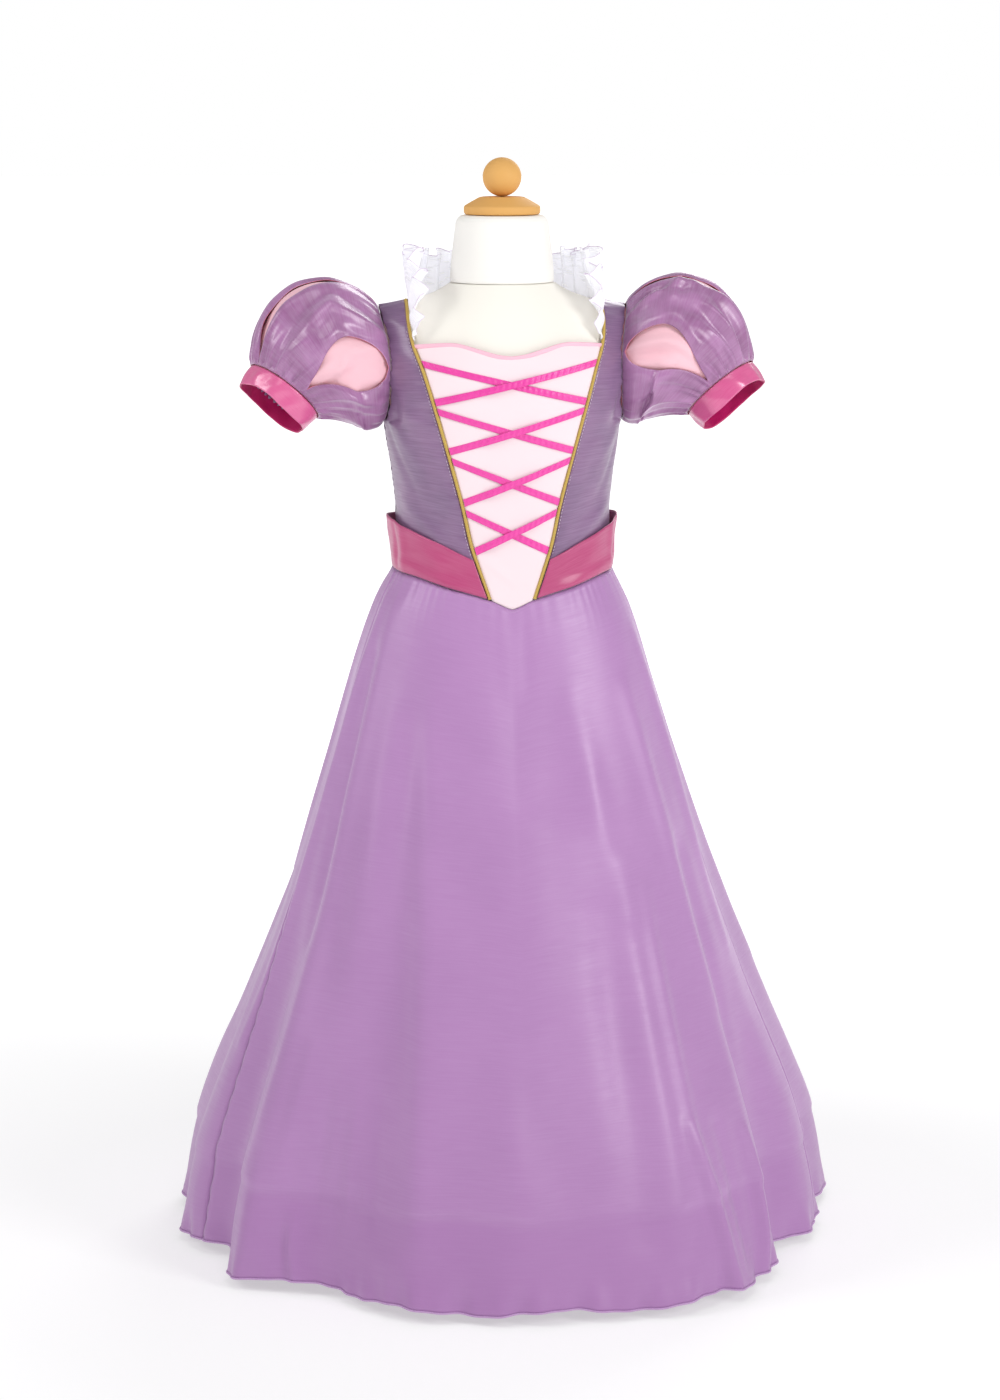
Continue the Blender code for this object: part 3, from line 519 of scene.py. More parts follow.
def mesh_from(name: str, nets: Sequence[Net], smooth: bool = True) -> bpy.types.Object:
    """A mesh of quads from nets, with the cloth map and the place map.

    Args:
        name: The object's name.
        nets: Its nets.
        smooth: Whether it is shaded smooth.

    Returns:
        The object, linked to the scene.
    """
    verts: list[Array] = []
    faces: list[Array] = []
    cloths: list[Array] = []
    places: list[Array] = []
    start = 0
    for net in nets:
        rows, columns = net.points.shape[:2]
        kept = columns - 1 if net.closed else columns
        index = start + np.arange(rows * kept).reshape(rows, kept)
        if net.closed:
            index = np.concatenate((index, index[:, :1]), axis=1)
        verts.append(net.points[:, :kept].reshape(-1, 3))
        corners = (slice(0, -1), slice(0, -1)), (slice(0, -1), slice(1, None)), (slice(1, None), slice(1, None))
        corners += ((slice(1, None), slice(0, -1)),)
        faces.append(np.stack([index[c] for c in corners], axis=-1).reshape(-1, 4))
        cloth = net.cloth()
        place = cloth if net.place is None else net.place
        cloths.append(np.stack([cloth[c] for c in corners], axis=2).reshape(-1, 2))
        places.append(np.stack([place[c] for c in corners], axis=2).reshape(-1, 2))
        start += rows * kept
    mesh = bpy.data.meshes.new(name)
    mesh.from_pydata(np.concatenate(verts).tolist(), [], np.concatenate(faces).tolist())
    for layer_name, data in (("cloth", cloths), ("place", places)):
        layer = mesh.uv_layers.new(name=layer_name)
        layer.data.foreach_set("uv", np.concatenate(data).astype(np.float32).ravel())
    if smooth:
        mesh.shade_smooth()
    obj = bpy.data.objects.new(name, mesh)
    bpy.context.scene.collection.objects.link(obj)
    return obj


def tube_net(path: Array, radius: Array | float, sides: int, closed_path: bool = False) -> Net:
    """A round tube along a path, as a closed net.

    Args:
        path: The points along its middle.
        radius: Its radius, one number, or one for each point and side.
        sides: How many sides it has.
        closed_path: Whether the path's ends meet.

    Returns:
        The net, whose rows run along the path.
    """
    if closed_path:
        run = np.roll(path, -1, axis=0) - np.roll(path, 1, axis=0)
    else:
        run = np.gradient(path, axis=0)
    run /= np.linalg.norm(run, axis=1, keepdims=True)
    side = np.cross(run, np.array((0.13, 0.21, 0.97)))
    side /= np.linalg.norm(side, axis=1, keepdims=True)
    up = np.cross(side, run)
    turn = np.linspace(0.0, 2.0 * np.pi, sides + 1)
    reach = np.broadcast_to(np.asarray(radius, float), (len(path), sides + 1))[..., None]
    round_it = side[:, None] * np.cos(turn)[None, :, None] + up[:, None] * np.sin(turn)[None, :, None]
    points = path[:, None] + round_it * reach
    return Net(points[:, ::-1], closed=True)


def along(path: Array, count: int) -> Array:
    """Evenly spaced places along a path."""
    lengths = np.concatenate(([0.0], np.cumsum(np.linalg.norm(np.diff(path, axis=0), axis=1))))
    where = np.linspace(0.0, lengths[-1], count)
    return np.stack([np.interp(where, lengths, path[:, k]) for k in range(3)], axis=1)


class Graph:
    """A material's nodes, with short calls to add and join them."""

    def __init__(self, name: str) -> None:
        """Start a material that holds only its Principled shader and output."""
        self.material = bpy.data.materials.new(name)
        self.material.use_nodes = True
        self.tree = self.material.node_tree
        self.shader = self.tree.nodes["Principled BSDF"]

    def add(self, kind: str, inputs: dict | None = None, **settings: object) -> bpy.types.Node:
        """Add a node.

        Args:
            kind: The node's type, without its ShaderNode prefix.
            inputs: Values or sockets for its inputs, by name or number.
            settings: Properties of the node.

        Returns:
            The node.
        """
        node = self.tree.nodes.new(f"ShaderNode{kind}")
        for key, value in settings.items():
            setattr(node, key, value)
        for key, value in (inputs or {}).items():
            self.feed(node.inputs[key], value)
        return node

    def feed(self, socket: bpy.types.NodeSocket, value: object) -> None:
        """Join a socket to another, or give it a value."""
        if isinstance(value, bpy.types.NodeSocket):
            self.tree.links.new(value, socket)
        else:
            socket.default_value = value

    def map(self, name: str, scale: tuple[float, float, float]) -> bpy.types.NodeSocket:
        """One of the mesh's maps, scaled."""
        source = self.add("UVMap", uv_map=name).outputs["UV"]
        return self.add("Mapping", {"Vector": source, "Scale": scale}).outputs["Vector"]

    def noise(self, vector: object, scale: float, detail: float = 2.0, roughness: float = 0.5) -> bpy.types.NodeSocket:
        """Grey noise at a vector."""
        values = {"Vector": vector, "Scale": scale, "Detail": detail, "Roughness": roughness}
        return self.add("TexNoise", values).outputs["Fac"]

    def ramp(self, value: object, stops: Sequence[tuple[float, object]], smooth: bool = False) -> bpy.types.NodeSocket:
        """A colour ramp, whose stops are a place and a grey value or a colour."""
        node = self.add("ValToRGB", {"Fac": value})
        band = node.color_ramp
        band.interpolation = "EASE" if smooth else "LINEAR"
        while len(band.elements) < len(stops):
            band.elements.new(0.5)
        for element, (place, colour) in zip(band.elements, stops):
            element.position = place
            element.color = (*colour, 1.0) if isinstance(colour, tuple) else (colour, colour, colour, 1.0)
        return node.outputs["Color"]

    def math(self, operation: str, a: object, b: object = 0.0) -> bpy.types.NodeSocket:
        """A sum, product or other operation on two values."""
        return self.add("Math", {0: a, 1: b}, operation=operation).outputs[0]

    def blend(self, share: object, a: object, b: object, kind: str = "MIX") -> bpy.types.NodeSocket:
        """A mix of two colours."""
        node = self.add("Mix", data_type="RGBA", blend_type=kind)
        for key, value in ((0, share), (6, a), (7, b)):
            self.feed(node.inputs[key], (*value, 1.0) if isinstance(value, tuple) and len(value) == 3 else value)
        return node.outputs[2]

    def bump(self, height: object, distance: float, strength: float = 1.0, under: object = None) -> bpy.types.NodeSocket:
        """A bump of a real height in metres, on top of another one."""
        values = {"Height": height, "Distance": distance, "Strength": strength}
        if under is not None:
            values["Normal"] = under
        return self.add("Bump", values).outputs["Normal"]

    def surface(self, values: dict[str, object]) -> bpy.types.Material:
        """Give the shader its values, and return the material."""
        for key, value in values.items():
            if isinstance(value, tuple) and len(value) == 3:
                value = (*value, 1.0)
            self.feed(self.shader.inputs[key], value)
        return self.material


@dataclass(frozen=True)
class Fabric:
    """A woven or knitted cloth.

    Attributes:
        name: The finish's name.
        colour: Its main colour, linear.
        shade: Its colour in the soft patches, partly the cloth's own uneven tone and partly painted shade; on the
            sleeve a lighter painted sheen.
        glow: Its colour where threads stand out, a painted sheen on the raised threads.
        roughness: How matt it is.
        sheen: How much it pales at grazing angles.
        sheen_tint: The colour of that sheen.
        thread: How its threads show.
        slub: Height of the thicker threads, in metres.
        stretched: How strongly its gloss is drawn along the threads.
        clouds: How strongly the soft patches show, partly the cloth's own uneven tone and partly painted shade and
            sheen.
        cloud_scale: How small those drifts are, per metre.
        gloss: How strongly its threads mirror the light.
        thread_sheen: How strongly the raised threads are painted with the glow colour, a painted sheen.
        unlined_painted_shade: The painted shade below the lining's edge, where no lining sends light back through the
            cloth, or nothing.
    """

    name: str
    colour: Colour
    shade: Colour
    glow: Colour
    roughness: float = 0.42
    sheen: float = 0.30
    sheen_tint: Colour = (0.9, 0.85, 0.95)
    thread: Thread = Thread.SLUB
    slub: float = 0.00006
    stretched: float = 0.5
    clouds: float = 0.4
    cloud_scale: float = 9.0
    gloss: float = 0.5
    thread_sheen: float = 0.28
    unlined_painted_shade: Colour | None = None

    def material(self) -> bpy.types.Material:
        """The finish as a material, made once."""
        known = bpy.data.materials.get(self.name)
        if known:
            return known
        graph = Graph(self.name)
        height, tone = self.threads(graph)
        # Soft patches of the shade colour: partly the cloth's own uneven tone, partly painted shade and sheen.
        drift = graph.noise(graph.map("cloth", (1.0, 1.0, 1.0)), self.cloud_scale, 3.0, 0.55)
        drift = graph.ramp(drift, ((0.36, 0.0), (0.64, 1.0)), smooth=True)
        base = graph.blend(graph.math("MULTIPLY", drift, self.clouds), self.colour, self.shade)
        # The raised threads are painted toward the glow colour: a painted sheen on top of their real gloss.
        base = graph.blend(graph.math("MULTIPLY", tone, self.thread_sheen), base, self.glow)
        # Below the lining's edge the satin is painted darker: a painted shade where no lining behind sends light back
        # through the cloth.
        if self.unlined_painted_shade:
            base = graph.blend(self.below_lining(graph), base, self.unlined_painted_shade)
        puckers = graph.noise(graph.map("cloth", (1.0, 1.6, 1.0)), 42.0, 2.0)
        normal = graph.bump(puckers, 0.0005, 0.5)
        normal = graph.bump(height, self.slub, 1.0, normal)
        return graph.surface(
            {
                "Base Color": base,
                "Roughness": graph.math("ADD", graph.math("MULTIPLY", tone, -0.10), self.roughness + 0.04),
                "Specular IOR Level": self.gloss,
                "Anisotropic": self.stretched,
                "Sheen Weight": self.sheen,
                "Sheen Roughness": 0.45,
                "Sheen Tint": self.sheen_tint,
                "Normal": normal,
            }
        )

    def threads(self, graph: Graph) -> tuple[bpy.types.NodeSocket, bpy.types.NodeSocket]:
        """The height and the tone of the threads; the tone also places the painted sheen.

        Args:
            graph: The material to add them to.

        Returns:
            Two grey values, each from 0 to 1.
        """
        if self.thread is Thread.KNIT:
            wales = graph.add("TexWave", {"Vector": graph.map("cloth", (1, 1, 1)), "Scale": 260.0}, bands_direction="X")
            rows = graph.noise(graph.map("cloth", (300.0, 900.0, 1.0)), 1.0)
            both = graph.math("ADD", graph.math("MULTIPLY", wales.outputs["Fac"], 0.5), graph.math("MULTIPLY", rows, 0.5))
            return both, both
        fine = graph.noise(graph.map("cloth", (60.0, 1500.0, 1.0)), 1.0, 3.0, 0.6)
        if self.thread is Thread.PLAIN:
            return fine, graph.ramp(fine, ((0.35, 0.0), (0.70, 0.6)))
        thick = graph.noise(graph.map("cloth", (24.0, 620.0, 1.0)), 1.0, 3.0, 0.6)
        both = graph.math("ADD", graph.math("MULTIPLY", thick, 0.65), graph.math("MULTIPLY", fine, 0.35))
        return both, graph.ramp(both, ((0.38, 0.0), (0.66, 1.0)))

    def below_lining(self, graph: Graph) -> bpy.types.NodeSocket:
        """How far a place is below the lining's edge, which shows through the cloth, from 0 to 1: the mask of the
        painted shade there.
        """
        split = graph.add("SeparateXYZ", {"Vector": graph.map("place", (1.0, 1.0, 1.0))})
        waver = graph.noise(graph.map("place", (9.0, 0.0, 1.0)), 1.0, 1.0)
        edge = graph.math("ADD", split.outputs["Y"], graph.math("MULTIPLY", graph.math("SUBTRACT", waver, 0.5), 0.02))
        return graph.ramp(edge, ((LINING_DOWN - 0.003, 0.0), (LINING_DOWN + 0.012, 0.45)), smooth=True)


@dataclass(frozen=True)
class Voile:
    """A fine white cloth that light passes, with small embroidered dots and a faint painted glow."""

    name: str = "voile"
    colour: Colour = (0.93, 0.93, 0.97)
    cover: float = 0.80
    dots_per_metre: float = 190.0

    def material(self) -> bpy.types.Material:
        """The finish as a material, made once."""
        known = bpy.data.materials.get(self.name)
        if known:
            return known
        graph = Graph(self.name)
        dots = graph.add("TexVoronoi", {"Vector": graph.map("cloth", (1, 1, 1)), "Scale": self.dots_per_metre})
        stitched = graph.ramp(dots.outputs["Distance"], ((0.20, 1.0), (0.30, 0.0)))
        weave = graph.noise(graph.map("cloth", (1400.0, 1400.0, 1.0)), 1.0)
        alpha = graph.math("ADD", graph.math("MULTIPLY", stitched, 0.2), self.cover)
        normal = graph.bump(weave, 0.00003, 1.0)
        normal = graph.bump(stitched, 0.0003, 0.8, normal)
        return graph.surface(
            {
                "Base Color": graph.blend(stitched, self.colour, (0.99, 0.99, 1.0)),
                "Roughness": 0.75,
                "Sheen Weight": 0.3,
                # A faint painted glow, no lamp: it lightens the voile as if more light came through it.
                "Emission Color": (0.95, 0.95, 1.0),
                "Emission Strength": 0.16,
                "Alpha": alpha,
                "Normal": normal,
            }
        )


@dataclass(frozen=True)
class Wood:
    """Turned, varnished beech with its grain running up."""

    name: str = "beech"
    light: Colour = (0.66, 0.335, 0.105)
    dark: Colour = (0.48, 0.205, 0.050)

    def material(self) -> bpy.types.Material:
        """The finish as a material, made once."""
        known = bpy.data.materials.get(self.name)
        if known:
            return known
        graph = Graph(self.name)
        place = graph.add("TexCoord").outputs["Object"]
        grain = graph.add("Mapping", {"Vector": place, "Scale": (240.0, 240.0, 26.0)}).outputs["Vector"]
        flecks = graph.ramp(graph.noise(grain, 1.0, 4.0, 0.6), ((0.42, 0.0), (0.66, 1.0)))
        bands = graph.add("Mapping", {"Vector": place, "Scale": (60.0, 60.0, 9.0)}).outputs["Vector"]
        rings = graph.noise(bands, 1.0, 2.0)
        colour = graph.blend(rings, self.light, self.dark)
        colour = graph.blend(graph.math("MULTIPLY", flecks, 0.35), colour, self.dark)
        return graph.surface(
            {
                "Base Color": colour,
                "Roughness": 0.34,
                "Coat Weight": 0.6,
                "Coat Roughness": 0.16,
                "Normal": graph.bump(flecks, 0.00006, 0.5),
            }
        )


@dataclass(frozen=True)
class Cord:
    """Twisted thread, metallic or plain."""

    name: str
    colour: Colour
    shade: Colour
    metallic: float = 0.0
    roughness: float = 0.45

    def material(self) -> bpy.types.Material:
        """The finish as a material, made once."""
        known = bpy.data.materials.get(self.name)
        if known:
            return known
        graph = Graph(self.name)
        fibres = graph.noise(graph.map("cloth", (900.0, 900.0, 1.0)), 1.0, 3.0)
        return graph.surface(
            {
                "Base Color": graph.blend(fibres, self.shade, self.colour),
                "Metallic": self.metallic,
                "Roughness": self.roughness,
                "Normal": graph.bump(fibres, 0.0001, 0.6),
            }
        )


@dataclass(frozen=True)
class Steel:
    """A plain, brushed steel tube."""

    name: str = "steel"

    def material(self) -> bpy.types.Material:
        """The finish as a material, made once."""
        known = bpy.data.materials.get(self.name)
        if known:
            return known
        graph = Graph(self.name)
        place = graph.add("TexCoord").outputs["Object"]
        brushed = graph.add("Mapping", {"Vector": place, "Scale": (1800.0, 1800.0, 12.0)}).outputs["Vector"]
        lines = graph.noise(brushed, 1.0, 2.0)
        return graph.surface(
            {
                "Base Color": graph.blend(lines, (0.50, 0.50, 0.52), (0.66, 0.66, 0.68)),
                "Metallic": 1.0,
                "Roughness": 0.35,
                "Normal": graph.bump(lines, 0.00002, 0.5),
            }
        )


SKIRT_SATIN = Fabric(
    "skirt_satin",
    colour=(0.450, 0.225, 0.490),
    shade=(0.400, 0.195, 0.440),
    glow=(0.620, 0.420, 0.680),
    roughness=0.41,
    sheen=0.30,
    gloss=0.60,
    thread_sheen=0.14,
    # Painted shade below the lining's edge.
    unlined_painted_shade=(0.400, 0.180, 0.440),
)
BODICE_SATIN = Fabric(
    "bodice_satin",
    colour=(0.225, 0.112, 0.235),
    shade=(0.150, 0.080, 0.175),
    glow=(0.430, 0.300, 0.480),
    roughness=0.34,
    sheen=0.22,
    slub=0.00008,
    clouds=0.75,
    cloud_scale=14.0,
    gloss=0.7,
)
# On the sleeve the lighter magenta patches and the silver thread colour are painted sheen, standing in for the shot
# satin's changing gloss.
SLEEVE_SATIN = Fabric(
    "sleeve_satin",
    colour=(0.270, 0.085, 0.235),
    shade=(0.420, 0.170, 0.390),
    glow=(0.560, 0.400, 0.600),
    roughness=0.32,
    sheen=0.55,
    slub=0.00005,
    clouds=0.85,
    cloud_scale=24.0,
    gloss=0.85,
)
SLEEVE_LINING = Fabric(
    "sleeve_lining",
    colour=(0.760, 0.230, 0.330),
    shade=(0.640, 0.140, 0.250),
    glow=(0.880, 0.450, 0.520),
    thread=Thread.PLAIN,
)
TAFFETA = Fabric(
    "pink_taffeta",
    colour=(0.890, 0.540, 0.580),
    shade=(0.860, 0.420, 0.480),
    glow=(0.960, 0.740, 0.760),
    roughness=0.40,
    sheen=0.35,
    sheen_tint=(1.0, 0.9, 0.9),
    thread=Thread.PLAIN,
    slub=0.00003,
)
PALE_PINK = Fabric(
    "pale_pink",
    colour=(0.740, 0.500, 0.580),
    shade=(0.680, 0.430, 0.510),
    glow=(0.830, 0.650, 0.710),
    roughness=0.52,
    sheen=0.20,
    sheen_tint=(1.0, 0.95, 0.97),
    stretched=0.3,
    clouds=0.35,
)
EDGING = Fabric(
    "edging_pink",
    colour=(0.920, 0.520, 0.640),
    shade=(0.880, 0.430, 0.560),
    glow=(0.960, 0.680, 0.760),
    roughness=0.55,
    thread=Thread.PLAIN,
)
CUFF_SATIN = Fabric(
    "cuff_satin",
    colour=(0.700, 0.100, 0.290),
    shade=(0.560, 0.040, 0.210),
    glow=(0.860, 0.330, 0.530),
    roughness=0.22,
    sheen=0.35,
    sheen_tint=(1.0, 0.8, 0.9),
    thread=Thread.PLAIN,
    slub=0.00003,
    gloss=1.0,
)
CUFF_INSIDE = Fabric(
    "cuff_inside",
    colour=(0.560, 0.002, 0.130),
    shade=(0.440, 0.001, 0.090),
    glow=(0.700, 0.030, 0.230),
    roughness=0.45,
    thread=Thread.PLAIN,
)
RIBBON = Fabric(
    "ribbon",
    colour=(0.830, 0.050, 0.380),
    shade=(0.680, 0.020, 0.270),
    glow=(0.930, 0.240, 0.580),
    roughness=0.30,
    sheen=0.35,
    sheen_tint=(1.0, 0.8, 0.92),
    thread=Thread.PLAIN,
)
SASH_SATIN = Fabric(
    "sash_satin",
    colour=(0.480, 0.055, 0.180),
    shade=(0.400, 0.038, 0.145),
    glow=(0.640, 0.170, 0.330),
    roughness=0.36,
    sheen=0.40,
    sheen_tint=(1.0, 0.75, 0.88),
)
LINING = Fabric(
    "lining",
    colour=(0.500, 0.340, 0.560),
    shade=(0.440, 0.290, 0.500),
    glow=(0.600, 0.450, 0.660),
    roughness=0.6,
    thread=Thread.PLAIN,
)
JERSEY = Fabric(
    "jersey",
    colour=(0.800, 0.750, 0.660),
    shade=(0.780, 0.725, 0.630),
    glow=(0.830, 0.785, 0.705),
    roughness=0.80,
    sheen=0.15,
    sheen_tint=(1.0, 1.0, 0.97),
    thread=Thread.KNIT,
    stretched=0.0,
    slub=0.00005,
)
LINEN = Fabric(
    "linen",
    colour=(0.700, 0.665, 0.595),
    shade=(0.670, 0.630, 0.555),
    glow=(0.730, 0.700, 0.640),
    roughness=0.75,
    sheen=0.12,
    sheen_tint=(1.0, 1.0, 0.98),
    thread=Thread.PLAIN,
    stretched=0.0,
)
GOLD = Cord("gold_cord", (0.78, 0.58, 0.20), (0.46, 0.29, 0.06), metallic=0.65, roughness=0.34)
LILAC_THREAD = Cord("lilac_thread", (0.66, 0.44, 0.70), (0.46, 0.25, 0.52))
PALE_THREAD = Cord("pale_thread", (0.88, 0.80, 0.90), (0.70, 0.58, 0.76))
BEECH = Wood()
STEEL = Steel()
VOILE = Voile()

Finish = Fabric | Voile | Wood | Cord | Steel


@dataclass(frozen=True)
class Cut:
    """How a piece of cloth was cut, before it was sewn.

    Attributes:
        width: Width of the cut, in metres.
        length: Length of the cut, in metres.
        fill: How much of that rectangle the cut takes.
        held: How the cloth is held.
        rests_on: What it hangs from or lies on.
    """

    width: float
    length: float
    fill: float
    held: str
    rests_on: tuple[str, ...]


class Workroom:
    """Makes pieces, dresses them and ties them to the part."""

    def piece(
        self,
        name: str,
        nets: Sequence[Net],
        finish: Finish,
        slot: str,
        stands_for: Sequence[str] = (),
        wall: float = 0.0,
        inside: Finish | None = None,
        weld: bool = False,
    ) -> bpy.types.Object:
        """Make one piece.

        Args:
            name: The piece's name.
            nets: Its nets, facing out.
            finish: Its finish.
            slot: The slot for that finish; not used.
            stands_for: The solids that it replaces.
            wall: The cloth's thickness, inward, or 0 for a closed form.
            inside: The finish of its inner side, if it differs.
            weld: Whether nets that meet are joined.

        Returns:
            The piece.
        """
        obj = mesh_from(name, nets)
        obj.data.materials.append(finish.material())
        if inside:
            obj.data.materials.append(inside.material())
        if weld:
            joint = obj.modifiers.new("Joined", "WELD")
            joint.merge_threshold = 0.00002
        if wall:
            solid = obj.modifiers.new("Wall", "SOLIDIFY")
            solid.thickness = wall
            solid.offset = -1.0
            solid.material_offset = 1 if inside else 0
            solid.material_offset_rim = 1 if inside else 0
        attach(obj, "root")
        if stands_for:
            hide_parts(*stands_for)
        log.info("%s: %d faces", name, len(obj.data.polygons))
        return obj


ROOM = Workroom()


def skirt_at(angle: Array, down: Array, inset: Array | float = 0.0) -> Array:
    """Outer side of the skirt, less an inset, at angles and shares of the way from waist to hem."""
    top = WAIST(np.abs(angle)) - GAP
    z = mix(top, HEM_Z, down)
    power = mix(BODY_POWER, HEM_POWER, np.minimum(down * 2.0, 1.0))
    start = FIGURE.at(angle, top)
    x, y = section(angle, SKIRT(down, "half_width"), SKIRT(down, "front"), SKIRT(down, "back"), power)
    x0, y0 = section(angle, *SKIRT.rows[0, 1:], BODY_POWER)
    join = 1.0 - ease(down / 0.12)
    x = x + (start[..., 0] - x0) * join
    y = y + (start[..., 1] - y0) * join
    out = np.zeros(np.broadcast(angle, down).shape)
    for fold in FOLDS:
        away = np.abs((angle - fold.angle - fold.drift * (1.0 - down) + 180.0) % 360.0 - 180.0) / fold.half_width
        deep = fold.depth * ease((down - fold.starts_at) / (1.0 - fold.starts_at))
        out += np.where(away < 1.0, deep * np.cos(np.pi / 2 * np.minimum(away, 1.0)) ** 2, 0.0)
    grow = 1.0 + (out - inset) / np.hypot(x, y)
    return stacked(x * grow, y * grow, z)


class Skirt:
    """The full skirt: three panels, the lining inside them and the overlocked hem."""

    reference = 0.25
    creases = (
        Crease((-30, 0.16), (-20, 0.90), 0.016, 0.0026),
        Crease((-37, 0.20), (-28, 0.90), 0.024, -0.0030),
        Crease((-48, 0.20), (-44, 0.80), 0.022, 0.0022),
        Crease((-62, 0.05), (-58, 0.78), 0.016, 0.0026),
        Crease((-69, 0.12), (-66, 0.52), 0.012, -0.0040),
        Crease((-75, 0.04), (-84, 0.70), 0.010, 0.0032),
        Crease((-52, 0.66), (-53, 0.92), 0.010, 0.0022),
        Crease((-46, 0.70), (-46, 0.92), 0.009, -0.0018),
        Crease((-39, 0.70), (-38, 0.92), 0.010, 0.0020),
        Crease((-33, 0.72), (-31, 0.90), 0.009, -0.0014),
        Crease((-50, 0.90), (-49, 1.00), 0.006, 0.0040),
        Crease((-5, 0.70), (1, 0.90), 0.020, 0.0024),
        Crease((-12, 0.30), (-9, 0.66), 0.030, -0.0024),
        Crease((8, 0.10), (12, 0.50), 0.026, -0.0024),
        Crease((19, 0.15), (29, 0.46), 0.014, 0.0022),
        Crease((31, 0.40), (26, 0.92), 0.014, 0.0034),
        Crease((22, 0.46), (20, 0.90), 0.018, -0.0036),
        Crease((37, 0.44), (33, 0.80), 0.010, 0.0034),
        Crease((33, 0.76), (38, 1.02), 0.008, 0.0062),
        Crease((41, 0.78), (43, 1.00), 0.010, -0.0040),
        Crease((50, 0.80), (50, 1.02), 0.008, 0.0058),
        Crease((58, 0.40), (60, 0.92), 0.014, -0.0036),
        Crease((47, 0.16), (56, 0.62), 0.012, 0.0028),
        Crease((68, 0.10), (74, 0.55), 0.012, 0.0030),
        Crease((-2, 0.02), (-1, 0.13), 0.006, 0.0006),
        Crease((3, 0.03), (4, 0.12), 0.005, -0.0006),
        Crease((96, 0.06), (102, 0.60), 0.016, 0.0036),
        Crease((112, 0.14), (120, 0.80), 0.020, -0.0040),
        Crease((128, 0.08), (136, 0.55), 0.014, 0.0034),
        Crease((146, 0.10), (142, 0.75), 0.018, 0.0030),
        Crease((160, 0.10), (166, 0.80), 0.018, -0.0034),
        Crease((172, 0.25), (170, 0.90), 0.014, 0.0030),
        Crease((-172, 0.10), (-168, 0.70), 0.016, 0.0030),
        Crease((-150, 0.15), (-152, 0.85), 0.018, -0.0034),
        Crease((-140, 0.06), (-131, 0.60), 0.014, 0.0032),
        Crease((-122, 0.20), (-124, 0.90), 0.018, 0.0030),
        Crease((-104, 0.08), (-106, 0.70), 0.016, -0.0036),
        Crease((-94, 0.03), (-98, 0.45), 0.010, 0.0030),
    )

    def spread(self, angle: Array, down: Array) -> tuple[Array, Array, Array]:
        """Coordinates in metres on the reference skirt, and how much wider the cloth is there."""
        return np.radians(angle) * self.reference, down * WAIST_TO_HEM, SKIRT(down, "half_width") / self.reference

    def relief(self, angle: Array, down: Array) -> Array:
        """Height of the finer folds, the lining's edge, the seams and the hem's flutter."""
        across, along_it, wider = self.spread(angle, down)
        metric = [
            Crease(
                (math.radians(c.start[0]) * self.reference, c.start[1] * WAIST_TO_HEM),
                (math.radians(c.end[0]) * self.reference, c.end[1] * WAIST_TO_HEM),
                c.width,
                c.rise,
                c.bow,
            )
            for c in self.creases
        ]
        height = 1.5 * creased(metric, across, along_it, wider)
        height += crumple(across * wider, along_it, 11, 0.11, lean=3.0) * 0.0011 * ease(down / 0.15)
        height += crumple(across * wider, along_it, 12, 0.045, lean=2.5) * 0.0003 * ease(down / 0.08)
        edge = LINING_DOWN + 0.006 * np.sin(np.radians(angle) * 7.0)
        height += 0.0024 * ease((down - 0.60) / (edge - 0.60)) * (1.0 - ease((down - edge) / 0.016))
        puckers = np.sin(np.radians(angle) * 62.0 + 2.2 * np.sin(np.radians(angle) * 9.0))
        height += 0.00032 * puckers * np.exp(-down / 0.028)
        for seam in (-SKIRT_SIDE_ANGLE, SKIRT_SIDE_ANGLE, 180.0, -180.0):
            beside = np.abs(angle - seam) * np.radians(1.0) * SKIRT(down, "half_width")
            pull = 1.0 + 0.35 * np.sin(down * 190.0 + seam)
            height -= 0.0013 * pull * np.exp(-((beside / 0.0022) ** 2))
        flutter = np.sin(np.radians(angle) * 29.0 + 1.7 * np.sin(np.radians(angle) * 5.0))
        flutter += 0.5 * np.sin(np.radians(angle) * 67.0 + 1.0)
        height += 0.0026 * flutter * ease((down - 0.93) / 0.07) ** 2
        return height

    def surface(self, angle: Array, down: Array, inset: float = 0.0) -> Array:
        """Points of the skirt with its finer folds."""
        points = skirt_at(angle, down, inset)
        reach = np.hypot(points[..., 0], points[..., 1])
        grow = 1.0 + self.relief(angle, down) / reach
        points[..., 0] *= grow
        points[..., 1] *= grow
        points[..., 2] += 0.0022 * np.sin(np.radians(angle) * 13.0 + 0.6) * ease((down - 0.9) / 0.1)
        return points

    def net(self, start: float, end: float, columns: int, rows: int) -> Net:
        """A panel between two seams, hem first."""
        down = 1.0 - np.linspace(0.0, 1.0, rows) ** 1.04
        angle = np.linspace(start, end, columns)
        grid_down, grid_angle = np.meshgrid(down, angle, indexing="ij")
        points = self.surface(grid_angle, grid_down)
        place = np.stack((grid_angle / 360.0 + 0.5, grid_down), axis=-1)
        return Net(points, place=place)

    def build(self) -> list[bpy.types.Object]:
        """Make the panels, the lining and the hem."""
        side = SKIRT_SIDE_ANGLE
        front = ROOM.piece(
            "skirt_front_cloth",
            [self.net(-side, side, 221, 161)],
            SKIRT_SATIN,
            "lilac_satin",
            ["skirt_front"],
            CLOTH,
        )
        self.hem("hem_front", -side, side, 1500)
        for which, start, end in ((Side.LEFT, side, 180.0), (Side.RIGHT, -180.0, -side)):
            back = ROOM.piece(
                f"skirt_back_{which.label}_cloth",
                [self.net(start, end, 131, 141)],
                SKIRT_SATIN,
                "lilac_satin",
                [f"skirt_back_{which.label}"],
                CLOTH,
            )
            hem = self.hem(f"hem_back_{which.label}", start, end, 1000)
        lining = self.lining()
        return [front, lining]

